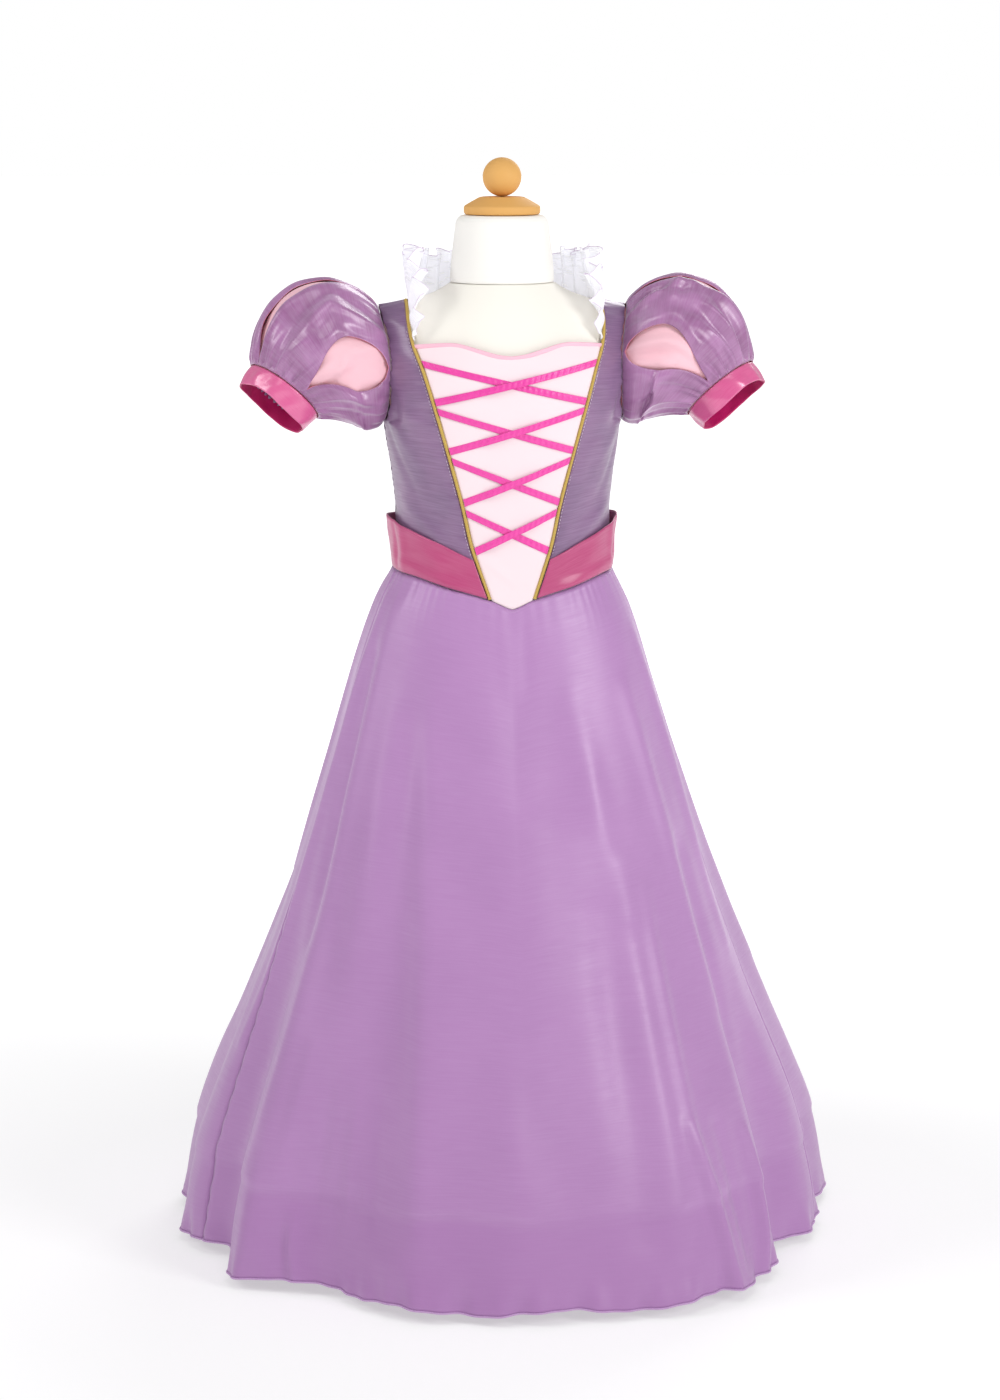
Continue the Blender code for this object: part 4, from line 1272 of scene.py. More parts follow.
    def hem(self, name: str, start: float, end: float, count: int) -> bpy.types.Object:
        """The rolled, overlocked edge, as a cord whose thickness beats with its stitches."""
        angle = np.linspace(start, end, count)
        path = self.surface(angle, np.full(count, 1.0))
        length = np.concatenate(([0.0], np.cumsum(np.linalg.norm(np.diff(path, axis=0), axis=1))))
        turn = np.linspace(0.0, 2.0 * np.pi, 7)
        beat = 0.0009 + 0.00028 * np.sin(2 * np.pi * length[:, None] / 0.0026 + turn[None, :])
        path[:, 2] -= 0.0002
        return ROOM.piece(name, [tube_net(path, beat, 6)], LILAC_THREAD, "lilac_satin")

    def lining(self) -> bpy.types.Object:
        """The lining, a plain tube that ends above the hem."""
        down = np.linspace(LINING_DOWN, 0.012, 40)
        angle = np.linspace(-180.0, 180.0, 181)
        grid_down, grid_angle = np.meshgrid(down, angle, indexing="ij")
        inset = mix(0.0034, 0.0095, ease(grid_down / 0.25))
        points = skirt_at(grid_angle, grid_down, inset)
        piece = ROOM.piece("lining_cloth", [Net(points, closed=True)], LINING, "lining", ["skirt_lining"], CLOTH)
        return piece


class Bodice:
    """The satin panels, the front panel with its edging, the piping, the stitches and the lacing."""

    lacing = ((0.8405, 0.8068), (0.7985, 0.7630), (0.7540, 0.7165), (0.7070, 0.6725))
    ribbon_width = 0.0062
    front_creases = (
        Crease((0.036, 0.235), (0.026, 0.150), 0.010, 0.0024, 0.006),
        Crease((0.030, 0.200), (0.055, 0.140), 0.007, -0.0020),
        Crease((0.060, 0.150), (0.030, 0.105), 0.008, 0.0016),
        Crease((0.075, 0.140), (0.045, 0.080), 0.007, -0.0016),
        Crease((0.070, 0.070), (0.030, 0.045), 0.008, 0.0014),
        Crease((0.085, 0.040), (0.050, 0.020), 0.006, 0.0014),
        Crease((0.012, 0.120), (0.010, 0.030), 0.008, 0.0010),
    )
    back_creases = (
        Crease((0.090, 0.150), (0.050, 0.110), 0.010, 0.0018),
        Crease((0.100, 0.120), (0.060, 0.070), 0.008, -0.0018),
        Crease((0.080, 0.070), (0.040, 0.045), 0.009, 0.0018),
        Crease((0.110, 0.040), (0.060, 0.018), 0.007, -0.0016),
        Crease((0.020, 0.200), (0.040, 0.120), 0.012, 0.0014),
    )

    def panel(self, back: bool, columns: int, low: int, high: int) -> Array:
        """Points of the left front or back panel, waist first, inner edge first."""
        share = np.linspace(0.0, 1.0, columns)

        def edge(z: Array) -> Array:
            if back:
                inner = FIGURE.moved(np.zeros(columns), z, GAP / 2)
            else:
                inner = FIGURE.moved(FIGURE.piping(z), z, PIPING_SEAM - 0.0007)
            angle = mix(inner, FIGURE.moved(FIGURE.armhole(z), z, -GAP / 2), share)
            return 180.0 - angle if back else angle

        rows = []
        for up in np.linspace(0.0, 1.0, low, endpoint=False):
            z = np.full(columns, mix(WAIST(90.0), CHEST_Z, up))
            for _ in range(8):
                z = mix(WAIST(edge(z)) + GAP / 2, CHEST_Z, up)
            rows.append(FIGURE.at(edge(z), z))
        end = edge(np.full(columns, 0.890))
        top = self.back_top(180.0 - end) if back else FIGURE.shoulder_end(end)
        for up in np.linspace(0.0, 1.0, high):
            rows.append(FIGURE.line(edge, top * up))
        return np.array(rows)

    def back_top(self, angle: Array) -> Array:
        """The angle phi of the back's top edge: the neckline, then the shoulder seam."""
        x = section(angle, 0.1165, 1.0, 1.0, BODY_POWER)[0]
        return mix(FIGURE.phi(angle, BACK_NECK(x)), FIGURE.shoulder_end(angle), ease((x - 0.079) / 0.010))

    def relief(self, points: Array, creases: Sequence[Crease], seed: int) -> Array:
        """Height of the pulls in a panel, with puckers along its inner seam and its waist."""
        net = Net(points)
        across, up = net.cloth()[..., 0] - net.cloth()[:, :1, 0], net.cloth()[..., 1]
        height = creased(creases, across, up)
        height += crumple(across, up, seed, 0.05) * 0.00045
        height += 0.00045 * np.sin(up * 620.0 + 2.0 * np.sin(up * 90.0)) * np.exp(-across / 0.006)
        height -= 0.0008 * np.exp(-((across / 0.0012) ** 2))
        edge = across[:, -1:] - across
        height += 0.0006 * np.sin(up * 520.0 + 3.0 * np.sin(up * 60.0)) * np.exp(-edge / 0.008)
        return height

    def build(self) -> Array:
        """Make everything on the bodice.

        Returns:
            The top edge of the left back panel.
        """
        front = self.panel(False, 61, 60, 46)
        back = self.panel(True, 81, 60, 46)
        stitches = self.piping_pieces()
        for which in Side:
            net = Net(front).raised(self.relief(front, self.front_creases, 21 + int(which.value)))
            turned = Net(back[:, ::-1])
            turned = turned.raised(self.relief(back, self.back_creases, 31 + int(which.value))[:, ::-1])
            for part, shape in (("front", net), ("back", turned)):
                piece = ROOM.piece(
                    f"bodice_{part}_{which.label}_cloth",
                    [shape if which is Side.LEFT else shape.mirrored()],
                    BODICE_SATIN,
                    "purple_satin",
                    [f"bodice_{part}_{which.label}"],
                    CLOTH,
                )
        self.stomacher()
        return back[-1]

    def piping_path(self, count: int) -> Array:
        """Places along the left piping, from the point to the shoulder."""
        turn_z = CHEST_Z + 0.03
        z = np.linspace(0.629, turn_z, 60, endpoint=False)
        low = FIGURE.at(FIGURE.piping(z), z)
        start = float(FIGURE.phi(FIGURE.piping(np.array(turn_z)), turn_z))
        high = FIGURE.line(FIGURE.piping, np.linspace(start, 86.0, 50))
        return along(np.concatenate((low, high)), count)

    def piping_pieces(self) -> dict[Side, list[bpy.types.Object]]:
        """The two gold cords and the row of stitches beside each."""
        path = self.piping_path(560)
        length = np.linspace(0.0, np.linalg.norm(np.diff(path, axis=0), axis=1).sum(), len(path))
        turn = np.linspace(0.0, 2.0 * np.pi, 11)
        twist = PIPING_RADIUS * (0.96 + 0.14 * np.cos(2.0 * (turn[None, :] - 2 * np.pi * length[:, None] / 0.0052)))
        made = {}
        for which in Side:
            cord = tube_net(path * np.array((which.value, 1.0, 1.0)), twist[:, :: int(which.value)], 10)
            gold = ROOM.piece(f"piping_{which.label}_cord", [cord], GOLD, "gold_cord", [f"piping_{which.label}"])
            made[which] = [gold, self.stitches(which, path)]
        return made

    def stitches(self, which: Side, path: Array) -> bpy.types.Object:
        """Short threads on the satin beside the piping."""
        z = np.arange(0.636, 0.868, 0.0030)
        nets = []
        for low in z:
            ends = np.linspace(low, low + 0.0016, 4)
            angle = FIGURE.moved(FIGURE.piping(ends), ends, 0.0034)
            points = FIGURE.at(angle, ends) + FIGURE.normal(angle, ends) * 0.0001
            nets.append(tube_net(points * np.array((which.value, 1.0, 1.0)), 0.00026, 4))
        return ROOM.piece(f"stitches_{which.label}", nets, PALE_THREAD, "purple_satin")

    def stomacher(self) -> None:
        """The pale front panel, its edging and the lacing."""
        columns, levels = 71, 91
        side = np.linspace(-1.0, 1.0, columns)
        rows = []
        for up in np.linspace(0.0, 1.0, levels):
            z = np.full(columns, mix(0.62, 0.85, up))
            for _ in range(8):
                angle = side * FIGURE.moved(FIGURE.piping(z), z, -PIPING_SEAM + 0.0007)
                top = SWEETHEART(np.abs(FIGURE.at(angle, np.minimum(z, 0.86))[:, 0]))
                z = mix(WAIST(np.abs(angle)) + GAP / 2, top, up)
            rows.append(FIGURE.at(angle, z))
        points = np.array(rows)
        net = Net(points)
        across, up = net.cloth()[..., 0], net.cloth()[..., 1]
        height = crumple(across, up, 41, 0.060) * 0.0004
        height += creased((Crease((-0.03, 0.04), (0.02, 0.02), 0.006, 0.0010),), across, up)
        edge = np.abs(across[:, -1:]) - np.abs(across)
        height -= 0.0006 * np.exp(-((edge / 0.0015) ** 2))
        panel = ROOM.piece(
            "stomacher_cloth", [net.raised(height)], PALE_PINK, "pale_pink", ["stomacher"], CLOTH
        )
        self.edging(points[-1])
        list(self.ribbons())

    def edging(self, top: Array) -> bpy.types.Object:
        """A narrow sheer fold along the sweetheart edge."""
        rows = []
        for share in np.linspace(0.0, 1.0, 6):
            angle = FIGURE.angle(np.abs(top[:, 0]), top[:, 2]) * np.sign(top[:, 0])
            lift = FIGURE.normal(angle, top[:, 2]) * (0.0006 + 0.0006 * math.sin(math.pi * share))
            rows.append(top + lift + np.array((0.0, 0.0, 1.0)) * mix(-0.0030, 0.0012, share))
        return ROOM.piece("edging_cloth", [Net(np.array(rows))], EDGING, "pale_pink", wall=0.0005)

    def ribbons(self) -> list[bpy.types.Object]:
        """Four crosses of ruched ribbon."""
        flat = 0.0009

        def over(x: Array) -> Array:
            return flat + 0.0018 * ease((0.032 - np.abs(x)) / 0.015)

        made = []
        for number, (upper_z, lower_z) in enumerate(self.lacing, 1):
            for name, lift, sign in (("over", over, 1.0), ("under", lambda x: np.full(x.shape, flat), -1.0)):
                net = self.ribbon(upper_z, lower_z, lift, number * 7 + int(sign))
                made.append(
                    ROOM.piece(
                        f"ribbon_{number}_{name}",
                        [net if sign > 0 else net.mirrored()],
                        RIBBON,
                        "ribbon_pink",
                        [f"lace_{number}_{name}"],
                        0.0005,
                    )
                )
        return made

    def ribbon(self, start_z: float, end_z: float, lift: Callable[[Array], Array], seed: int) -> Net:
        """One ribbon, with the small gathers that its two lines of stitches draw up."""
        margin = (PIPING_RADIUS + GAP) * 1.25
        slope = math.atan2(start_z - end_z, float(PIPING(start_z) + PIPING(end_z)))
        steps = 171
        t = np.linspace(0.0, 1.0, steps)
        rows = []
        for side in np.linspace(-0.5, 0.5, 11):
            rise = side * self.ribbon_width / math.cos(slope)
            x = mix(float(PIPING(start_z + rise)) - margin, margin - float(PIPING(end_z + rise)), t)
            z = mix(start_z, end_z, t) + rise
            angle = FIGURE.angle(np.abs(x), z) * np.sign(x)
            length = t * (PIPING(start_z) + PIPING(end_z))
            beat = np.sin(2 * np.pi * length / 0.0056 + 1.3 * np.sin(length * 70.0 + seed) + 0.9 * side)
            tucked = np.minimum(np.abs(np.abs(side) - 0.24) / 0.10, 1.0)
            puff = (0.00022 + 0.00034 * beat) * tucked * (1.0 - (2.0 * side) ** 6)
            points = FIGURE.at(angle, z)
            rows.append(points + FIGURE.normal(angle, z) * (lift(x) + puff)[:, None])
        return Net(np.array(rows)[:, ::-1])


class Sash:
    """The rose band round the waist, which stands open at the sides."""

    creases = (
        Crease((0.010, 0.004), (0.120, 0.010), 0.005, 0.0009),
        Crease((0.085, 0.042), (0.092, 0.006), 0.006, 0.0016),
        Crease((0.102, 0.040), (0.106, 0.004), 0.005, -0.0018),
        Crease((0.130, 0.030), (0.200, 0.022), 0.007, 0.0014),
        Crease((0.220, 0.010), (0.270, 0.016), 0.006, 0.0012),
        Crease((0.170, 0.012), (0.150, 0.034), 0.005, -0.0012),
    )

    def build(self) -> None:
        """Make the two bands with their turned edges."""
        share = np.linspace(0.0, 1.0, 23)
        rows = []
        columns = np.linspace(0.0, 1.0, 181)
        for up in share:
            beside = float(mix(0.6300, 0.6640, up))
            start = FIGURE.moved(FIGURE.piping(np.array(beside)), beside, PIPING_SEAM)
            end = FIGURE.moved(np.array(180.0), beside, -GAP / 2)
            angle = mix(start, end, columns)
            bottom = WAIST(angle) + 0.0008
            z = mix(bottom, SASH(angle, "top"), up)
            stand = SEWN_WALL + GAP + SASH(angle, "stand_off") * up
            rows.append(FIGURE.at(angle, z) + FIGURE.normal(angle, z) * stand[:, None])
        net = Net(np.array(rows))
        across, up = net.cloth()[..., 0] - net.cloth()[:, :1, 0], net.cloth()[..., 1]
        height = creased(self.creases, across, up)
        height += crumple(across, up, 51, 0.040, lean=0.6) * 0.0004
        for line in (0.0, 1.0):
            near = np.abs(share[:, None] - line) * up.max()
            height -= 0.0005 * np.exp(-((near / 0.0012) ** 2))
        for which in Side:
            shape = net.raised(height)
            piece = ROOM.piece(
                f"sash_{which.label}_cloth",
                [shape if which is Side.LEFT else shape.mirrored()],
                SASH_SATIN,
                "rose_satin",
                [f"sash_{which.label}"],
                0.0012,
            )


class NeckRuffle:
    """The gathered voile strip that stands on the neck edge."""

    waves = 24
    steps = 4
    fine = 20

    def base(self, back_top: Array) -> Array:
        """Places along the neck edge, from the wearer's right front corner to the left one."""

        def inside(z: Array) -> Array:
            return FIGURE.moved(FIGURE.piping(z), z, -PIPING_SEAM - 0.001)

        corner = float(SWEETHEART(0.085))
        start = float(FIGURE.phi(FIGURE.piping(np.array(corner)), corner)) + 3.0
        front = FIGURE.line(inside, np.linspace(start, 88.0, 9))
        rest = back_top[back_top[:, 0] < front[-1, 0] - 0.004]
        half = np.concatenate((front, rest[np.argsort(-rest[:, 0])]))
        whole = np.concatenate((half * np.array((-1.0, 1.0, 1.0)), half[::-1]))
        base = along(whole, self.waves * self.steps + 1)
        for _ in range(6):
            base[1:-1] = (base[:-2] + 2.0 * base[1:-1] + base[2:]) / 4.0
        return along(base, self.waves * self.fine + 1)

    def build(self, back_top: Array) -> None:
        """Make the ruffle on the edge that the back panel gives."""
        base = self.base(back_top)
        count = len(base)
        run = np.gradient(base, axis=0)
        run /= np.linalg.norm(run, axis=1, keepdims=True)
        out = np.cross(run, (0.0, 0.0, 1.0))
        out /= np.linalg.norm(out, axis=1, keepdims=True)
        out *= np.sign(np.sum(out[:, :2] * base[:, :2], axis=1))[:, None]
        where = np.arange(count)
        share_along = 1.0 - np.abs(2.0 * where / (count - 1) - 1.0)
        front = 1.0 - ease(share_along / 0.45)
        inward = -np.sign(base[:, 0]) * np.minimum(np.abs(base[:, 0]) / 0.03, 1.0)
        lean = np.stack((0.35 * inward * front, -0.75 * front, np.ones(count)), axis=1)
        lean /= np.linalg.norm(lean, axis=1, keepdims=True)
        turn = 2.0 * np.pi * where / self.fine
        phase = turn + 0.7 * np.sin(turn / 5.3) + 0.4 * np.sin(turn / 2.9 + 1.0)
        height = RUFFLE(share_along, "height") * (1.0 + 0.07 * np.sin(turn * 0.61) + 0.04 * np.sin(turn * 1.7))
        rows = []
        for up in np.linspace(0.0, 1.0, 22):
            swing = RUFFLE(share_along, "wave") * up**0.8 * np.sin(phase)
            swing += 0.0012 * up**3 * np.sin(phase * 2.0 + 1.0) * ease(share_along / 0.1)
            side = RUFFLE(share_along, "wave") * 0.35 * up * np.sin(phase * 2.0)
            bend = 0.0025 * math.sin(math.pi * up) * front
            place = base + out * (swing + bend)[:, None] + run * side[:, None]
            rows.append(place + lean * (height * up)[:, None] + np.array((0.0, 0.0, GAP)))
        net = Net(np.array(rows))
        ruffle = ROOM.piece("ruffle_cloth", [net], VOILE, "white_voile", ["neck_ruffle"], 0.0004)
        rim = tube_net(net.points[-1], 0.00042, 5)
        hem = ROOM.piece("ruffle_hem", [rim], PALE_THREAD, "white_voile")


@dataclass(frozen=True)
class Slash:
    """A slit in the outer puff.

    Attributes:
        turn: Where it is, in degrees round the sleeve from its top, through the front.
        half: Half its widest opening, in degrees.
        peak: Where along the sleeve it is widest.
        drift: How far it turns on its way to the cuff, in degrees.
    """

    turn: float
    half: float
    peak: float
    drift: float = 0.0

    def edge(self, along_it: Array, which: float) -> Array:
        """Turn of its near edge, -1, or of its far edge, 1."""
        return self.turn + self.drift * (along_it - 0.5) + which * self.open(along_it)

    def open(self, along_it: Array) -> Array:
        """Half its opening at shares of the way from the armhole to the cuff."""
        share = np.clip((along_it - 0.03) / 0.93, 0.0, 1.0)
        return self.half * np.sin(np.pi * share ** (math.log(0.5) / math.log(self.peak)))


@dataclass(frozen=True)
class Sleeve:
    """A puff sleeve: the slashed puff, the pink puff under it and the cuff.

    Attributes:
        side: The wearer's side.
        armhole: The path's start, on the left side.
        middle: The point that bends the path.
        cuff: The path's end.
        facing: Where the cuff faces.
        top: The slash over the shoulder.
        front: The slash in front.
        back: The slash at the back.
        creases: Creases of the outer puff, by turn in degrees and share of the way.
        under_creases: Creases of the pink puff.
    """

    side: Side
    armhole: Colour
    middle: Colour
    cuff: Colour
    facing: Colour
    top: Slash
    front: Slash
    back: Slash
    creases: tuple[Crease, ...]
    under_creases: tuple[Crease, ...]
    bottom_seam: float = 186.0
    reach: float = 0.064
    path_length: float = 0.115

    def frame(self, t: Array) -> tuple[Array, Array, Array, Array]:
        """Centre, normal, upright axis and depth axis of the rings at shares of the way."""
        t = np.asarray(t, float)[..., None]
        start, middle, end = (np.array(knot) for knot in (self.armhole, self.middle, self.cuff))
        centre = (1 - t) ** 2 * start + 2 * t * (1 - t) * middle + t**2 * end
        facing = np.array(self.facing) / np.linalg.norm(self.facing)
        normal = mix(np.array((1.0, 0.0, 0.0)), facing, t)
        normal = normal / np.linalg.norm(normal, axis=-1, keepdims=True)
        depth = np.array((0.0, 1.0, 0.0)) - normal * normal[..., 1:2]
        depth = depth / np.linalg.norm(depth, axis=-1, keepdims=True)
        upright = np.cross(depth, normal)
        upright = np.where(upright[..., 2:3] < 0, -upright, upright)
        return centre, normal, upright, depth

    def armhole_edge(self, turn: Array) -> Array:
        """Places on the armhole's edge at turns round it."""
        low, high = 0.785, float(RIDGE(0.1150))
        z = mix(low, high, 0.5 + 0.5 * np.cos(np.radians(turn)))
        x = ARMHOLE(z)
        y = np.abs(FIGURE.at(FIGURE.angle(x, z), z)[..., 1])
        return stacked(x + 0.0009, -np.copysign(y, np.sin(np.radians(turn))), z)

    def ring(self, t: Array, turn: Array, inset: Array | float = 0.0, wave: Array | float = 0.0) -> Array:
        """Points of the puff, less an inset, with waves added."""
        centre, _, upright, depth = self.frame(t)
        angle = np.radians(turn)
        cos, sin = np.cos(angle)[..., None], np.sin(angle)[..., None]
        up = (PUFF(t, "upright") + wave - inset)[..., None]
        forward = (PUFF(t, "depth") + wave - inset)[..., None]
        point = centre + upright * up * cos - depth * forward * sin
        start, _, first_up, first_depth = self.frame(np.zeros_like(t))
        flat = start + first_up * PUFF.rows[0, 1] * cos - first_depth * PUFF.rows[0, 2] * sin
        join = (1.0 - ease(t / 0.30))[..., None]
        point = point + (self.armhole_edge(turn) - flat) * join
        return point * np.array((self.side.value, 1.0, 1.0))

    def coordinates(self, t: Array, turn: Array) -> tuple[Array, Array]:
        """Rough metres round and along the sleeve."""
        return np.radians(turn) * self.reach, t * self.path_length

    def metric(self, creases: Sequence[Crease]) -> list[Crease]:
        """Creases moved from turns and shares into metres, each also a whole turn away."""
        found = []
        for crease in creases:
            for whole in (0.0, 360.0):
                ends = [
                    (math.radians(turn + whole) * self.reach, share * self.path_length)
                    for turn, share in (crease.start, crease.end)
                ]
                found.append(Crease(ends[0], ends[1], crease.width, crease.rise, crease.bow))
        return found

    def gathers(self, t: Array, turn: Array, count: int, depth: float, seed: float) -> Array:
        """Small gathers that run in from both seams and die out."""
        angle = np.radians(turn)
        wave = np.sin(angle * count + 1.9 * np.sin(angle * 3.0 + seed)) + 0.45 * np.sin(angle * count * 1.9 + seed * 2.0)
        cuff_end = np.exp(-((1.0 - t) / 0.17)) * ease((1.0 - t) / 0.03)
        armhole_end = np.exp(-(t / 0.09)) * ease(t / 0.03)
        return depth * wave * (cuff_end + 0.7 * armhole_end)

    def strip(self, start: Callable[[Array], Array], end: Callable[[Array], Array], open_ends: tuple[bool, bool], columns: int) -> Net:
        """One strip of the outer puff between two edges, full in its middle.

        Args:
            start: Turn of its first edge, by the share of the way.
            end: Turn of its other edge.
            open_ends: Whether each edge is a slash's.
            columns: How many columns it has.

        Returns:
            The strip's net.
        """
        share = np.linspace(0.0, 1.0, columns)[None, :]
        t = np.linspace(0.0, 1.0, 92)[:, None]
        turn = mix(start(t), end(t), share)
        t = np.broadcast_to(t, turn.shape)
        across, along_it = self.coordinates(t, turn)
        height = creased(self.metric(self.creases), across, along_it)
        height = 1.35 * height + self.gathers(t, turn, 26, 0.0021, 0.4)
        height += crumple(across, along_it, 61 + int(self.side.value), 0.035) * 0.0007 * np.sin(np.pi * t)
        for is_open, beside in ((open_ends[0], share), (open_ends[1], 1.0 - share)):
            if is_open:
                distance = beside * np.abs(end(t) - start(t)) * math.radians(1.0) * self.reach
                wide = np.sin(np.pi * np.clip(t, 0.0, 1.0))
                dip = 0.0024 * np.exp(-((distance / 0.0032) ** 2))
                height -= (dip - 0.0016 * np.exp(-(((distance - 0.009) / 0.006) ** 2))) * wide
        points = self.ring(t, turn, 0.0, height)
        net = Net(points[:, ::-1] if self.side is Side.RIGHT else points)
        return net

    def outer(self) -> bpy.types.Object:
        """The slashed puff, in strips between its slashes."""
        top, front, back = self.top, self.front, self.back
        seam = self.bottom_seam
        strips = [
            self.strip(lambda t: top.edge(t, 1.0), lambda t: front.edge(t, -1.0), (True, True), 62),
            self.strip(lambda t: front.edge(t, 1.0), lambda t: seam + 0.0 * t, (True, False), 52),
            self.strip(lambda t: seam + 0.0 * t, lambda t: back.edge(t, -1.0), (False, True), 52),
            self.strip(lambda t: back.edge(t, 1.0), lambda t: top.edge(t, -1.0) + 360.0, (True, True), 62),
        ]
        label = self.side.label
        return ROOM.piece(
            f"puff_{label}_cloth",
            strips,
            SLEEVE_SATIN,
            "purple_satin",
            [f"puff_front_{label}", f"puff_back_{label}"],
            0.0006,
            SLEEVE_LINING,
            weld=True,
        )

    def inner(self) -> bpy.types.Object:
        """The pink puff that shows through the slashes."""
        t = np.linspace(0.005, 0.99, 84)[:, None]
        turn = np.linspace(0.0, 360.0, 161)[None, :]
        t, turn = np.broadcast_arrays(t, turn)
        across, along_it = self.coordinates(t, turn)
        height = creased(self.metric(self.under_creases), across, along_it)
        angle = np.radians(turn)
        wave = np.sin(angle * 15 + 1.2 * np.sin(angle * 4.0)) * 0.0011 * np.sin(np.pi * t) ** 0.5
        height = height + wave + self.gathers(t, turn, 30, 0.0006, 1.7)
        for slash in (self.top, self.front, self.back):
            away = (turn - slash.edge(t, 0.0) + 180.0) % 360.0 - 180.0
            height += 0.0042 * np.exp(-((away / (slash.half + 6.0)) ** 2)) * np.sin(np.pi * t)
        points = self.ring(t, turn, UNDER_PUFF(t) + 0.0006, height)
        net = Net(points[:, ::-1] if self.side is Side.RIGHT else points, closed=True)
        label = self.side.label
        return ROOM.piece(f"under_puff_{label}_cloth", [net], TAFFETA, "pink_taffeta", [f"under_puff_{label}"], 0.0006)

    def band(self) -> tuple[bpy.types.Object, bpy.types.Object]:
        """The cuff band, and the zigzag seam allowance inside it."""
        centre, normal, upright, depth = (part[0] for part in self.frame(np.array([1.0])))
        turn = np.linspace(0.0, 2.0 * np.pi, 181)
        kinks = 0.0007 * np.cos(5.0 * turn + 0.7) + 0.0004 * np.cos(11.0 * turn + self.side.value)
        rows = []
        for share in np.linspace(0.0, 1.0, 15):
            radius = mix(0.0378, 0.0352, share) + kinks * (0.25 + 0.75 * share)
            radius = radius + 0.0006 * math.sin(math.pi * share) * (1.0 + np.cos(9.0 * turn + 2.0 * share))
            middle = centre + normal * (0.0008 + 0.0190 * share)
            sway = 0.0012 * share * np.cos(3.0 * turn + 0.5)
            rows.append(
                middle
                + normal * sway[:, None]
                + upright * (radius * np.cos(turn))[:, None]
                - depth * (radius * np.sin(turn))[:, None]
            )
        points = np.array(rows) * np.array((self.side.value, 1.0, 1.0))
        label = self.side.label
        net = Net(points[:, ::-1] if self.side is Side.RIGHT else points, closed=True)
        cuff = ROOM.piece(f"cuff_{label}_cloth", [net], CUFF_SATIN, "hot_pink", [f"cuff_{label}"], 0.0012, CUFF_INSIDE)
        rows = []
        for share in np.linspace(0.0, 1.0, 5):
            zigzag = 0.0050 + share * 0.0012 * np.sign(np.sin(turn * 42.0))
            middle = centre + normal * 0.001
            rows.append(
                middle
                + normal * (zigzag * share)[:, None]
                + upright * (0.0345 * np.cos(turn))[:, None]
                - depth * (0.0345 * np.sin(turn))[:, None]
            )
        points = np.array(rows) * np.array((self.side.value, 1.0, 1.0))
        net = Net(points[:, ::-1] if self.side is Side.RIGHT else points, closed=True)
        allowance = ROOM.piece(f"seam_allowance_{label}", [net], BODICE_SATIN, "purple_satin", wall=0.0006)
        return cuff, allowance

    def build(self) -> None:
        """Make the sleeve's pieces."""
        self.outer()
        self.inner()
        cuff, allowance = self.band()


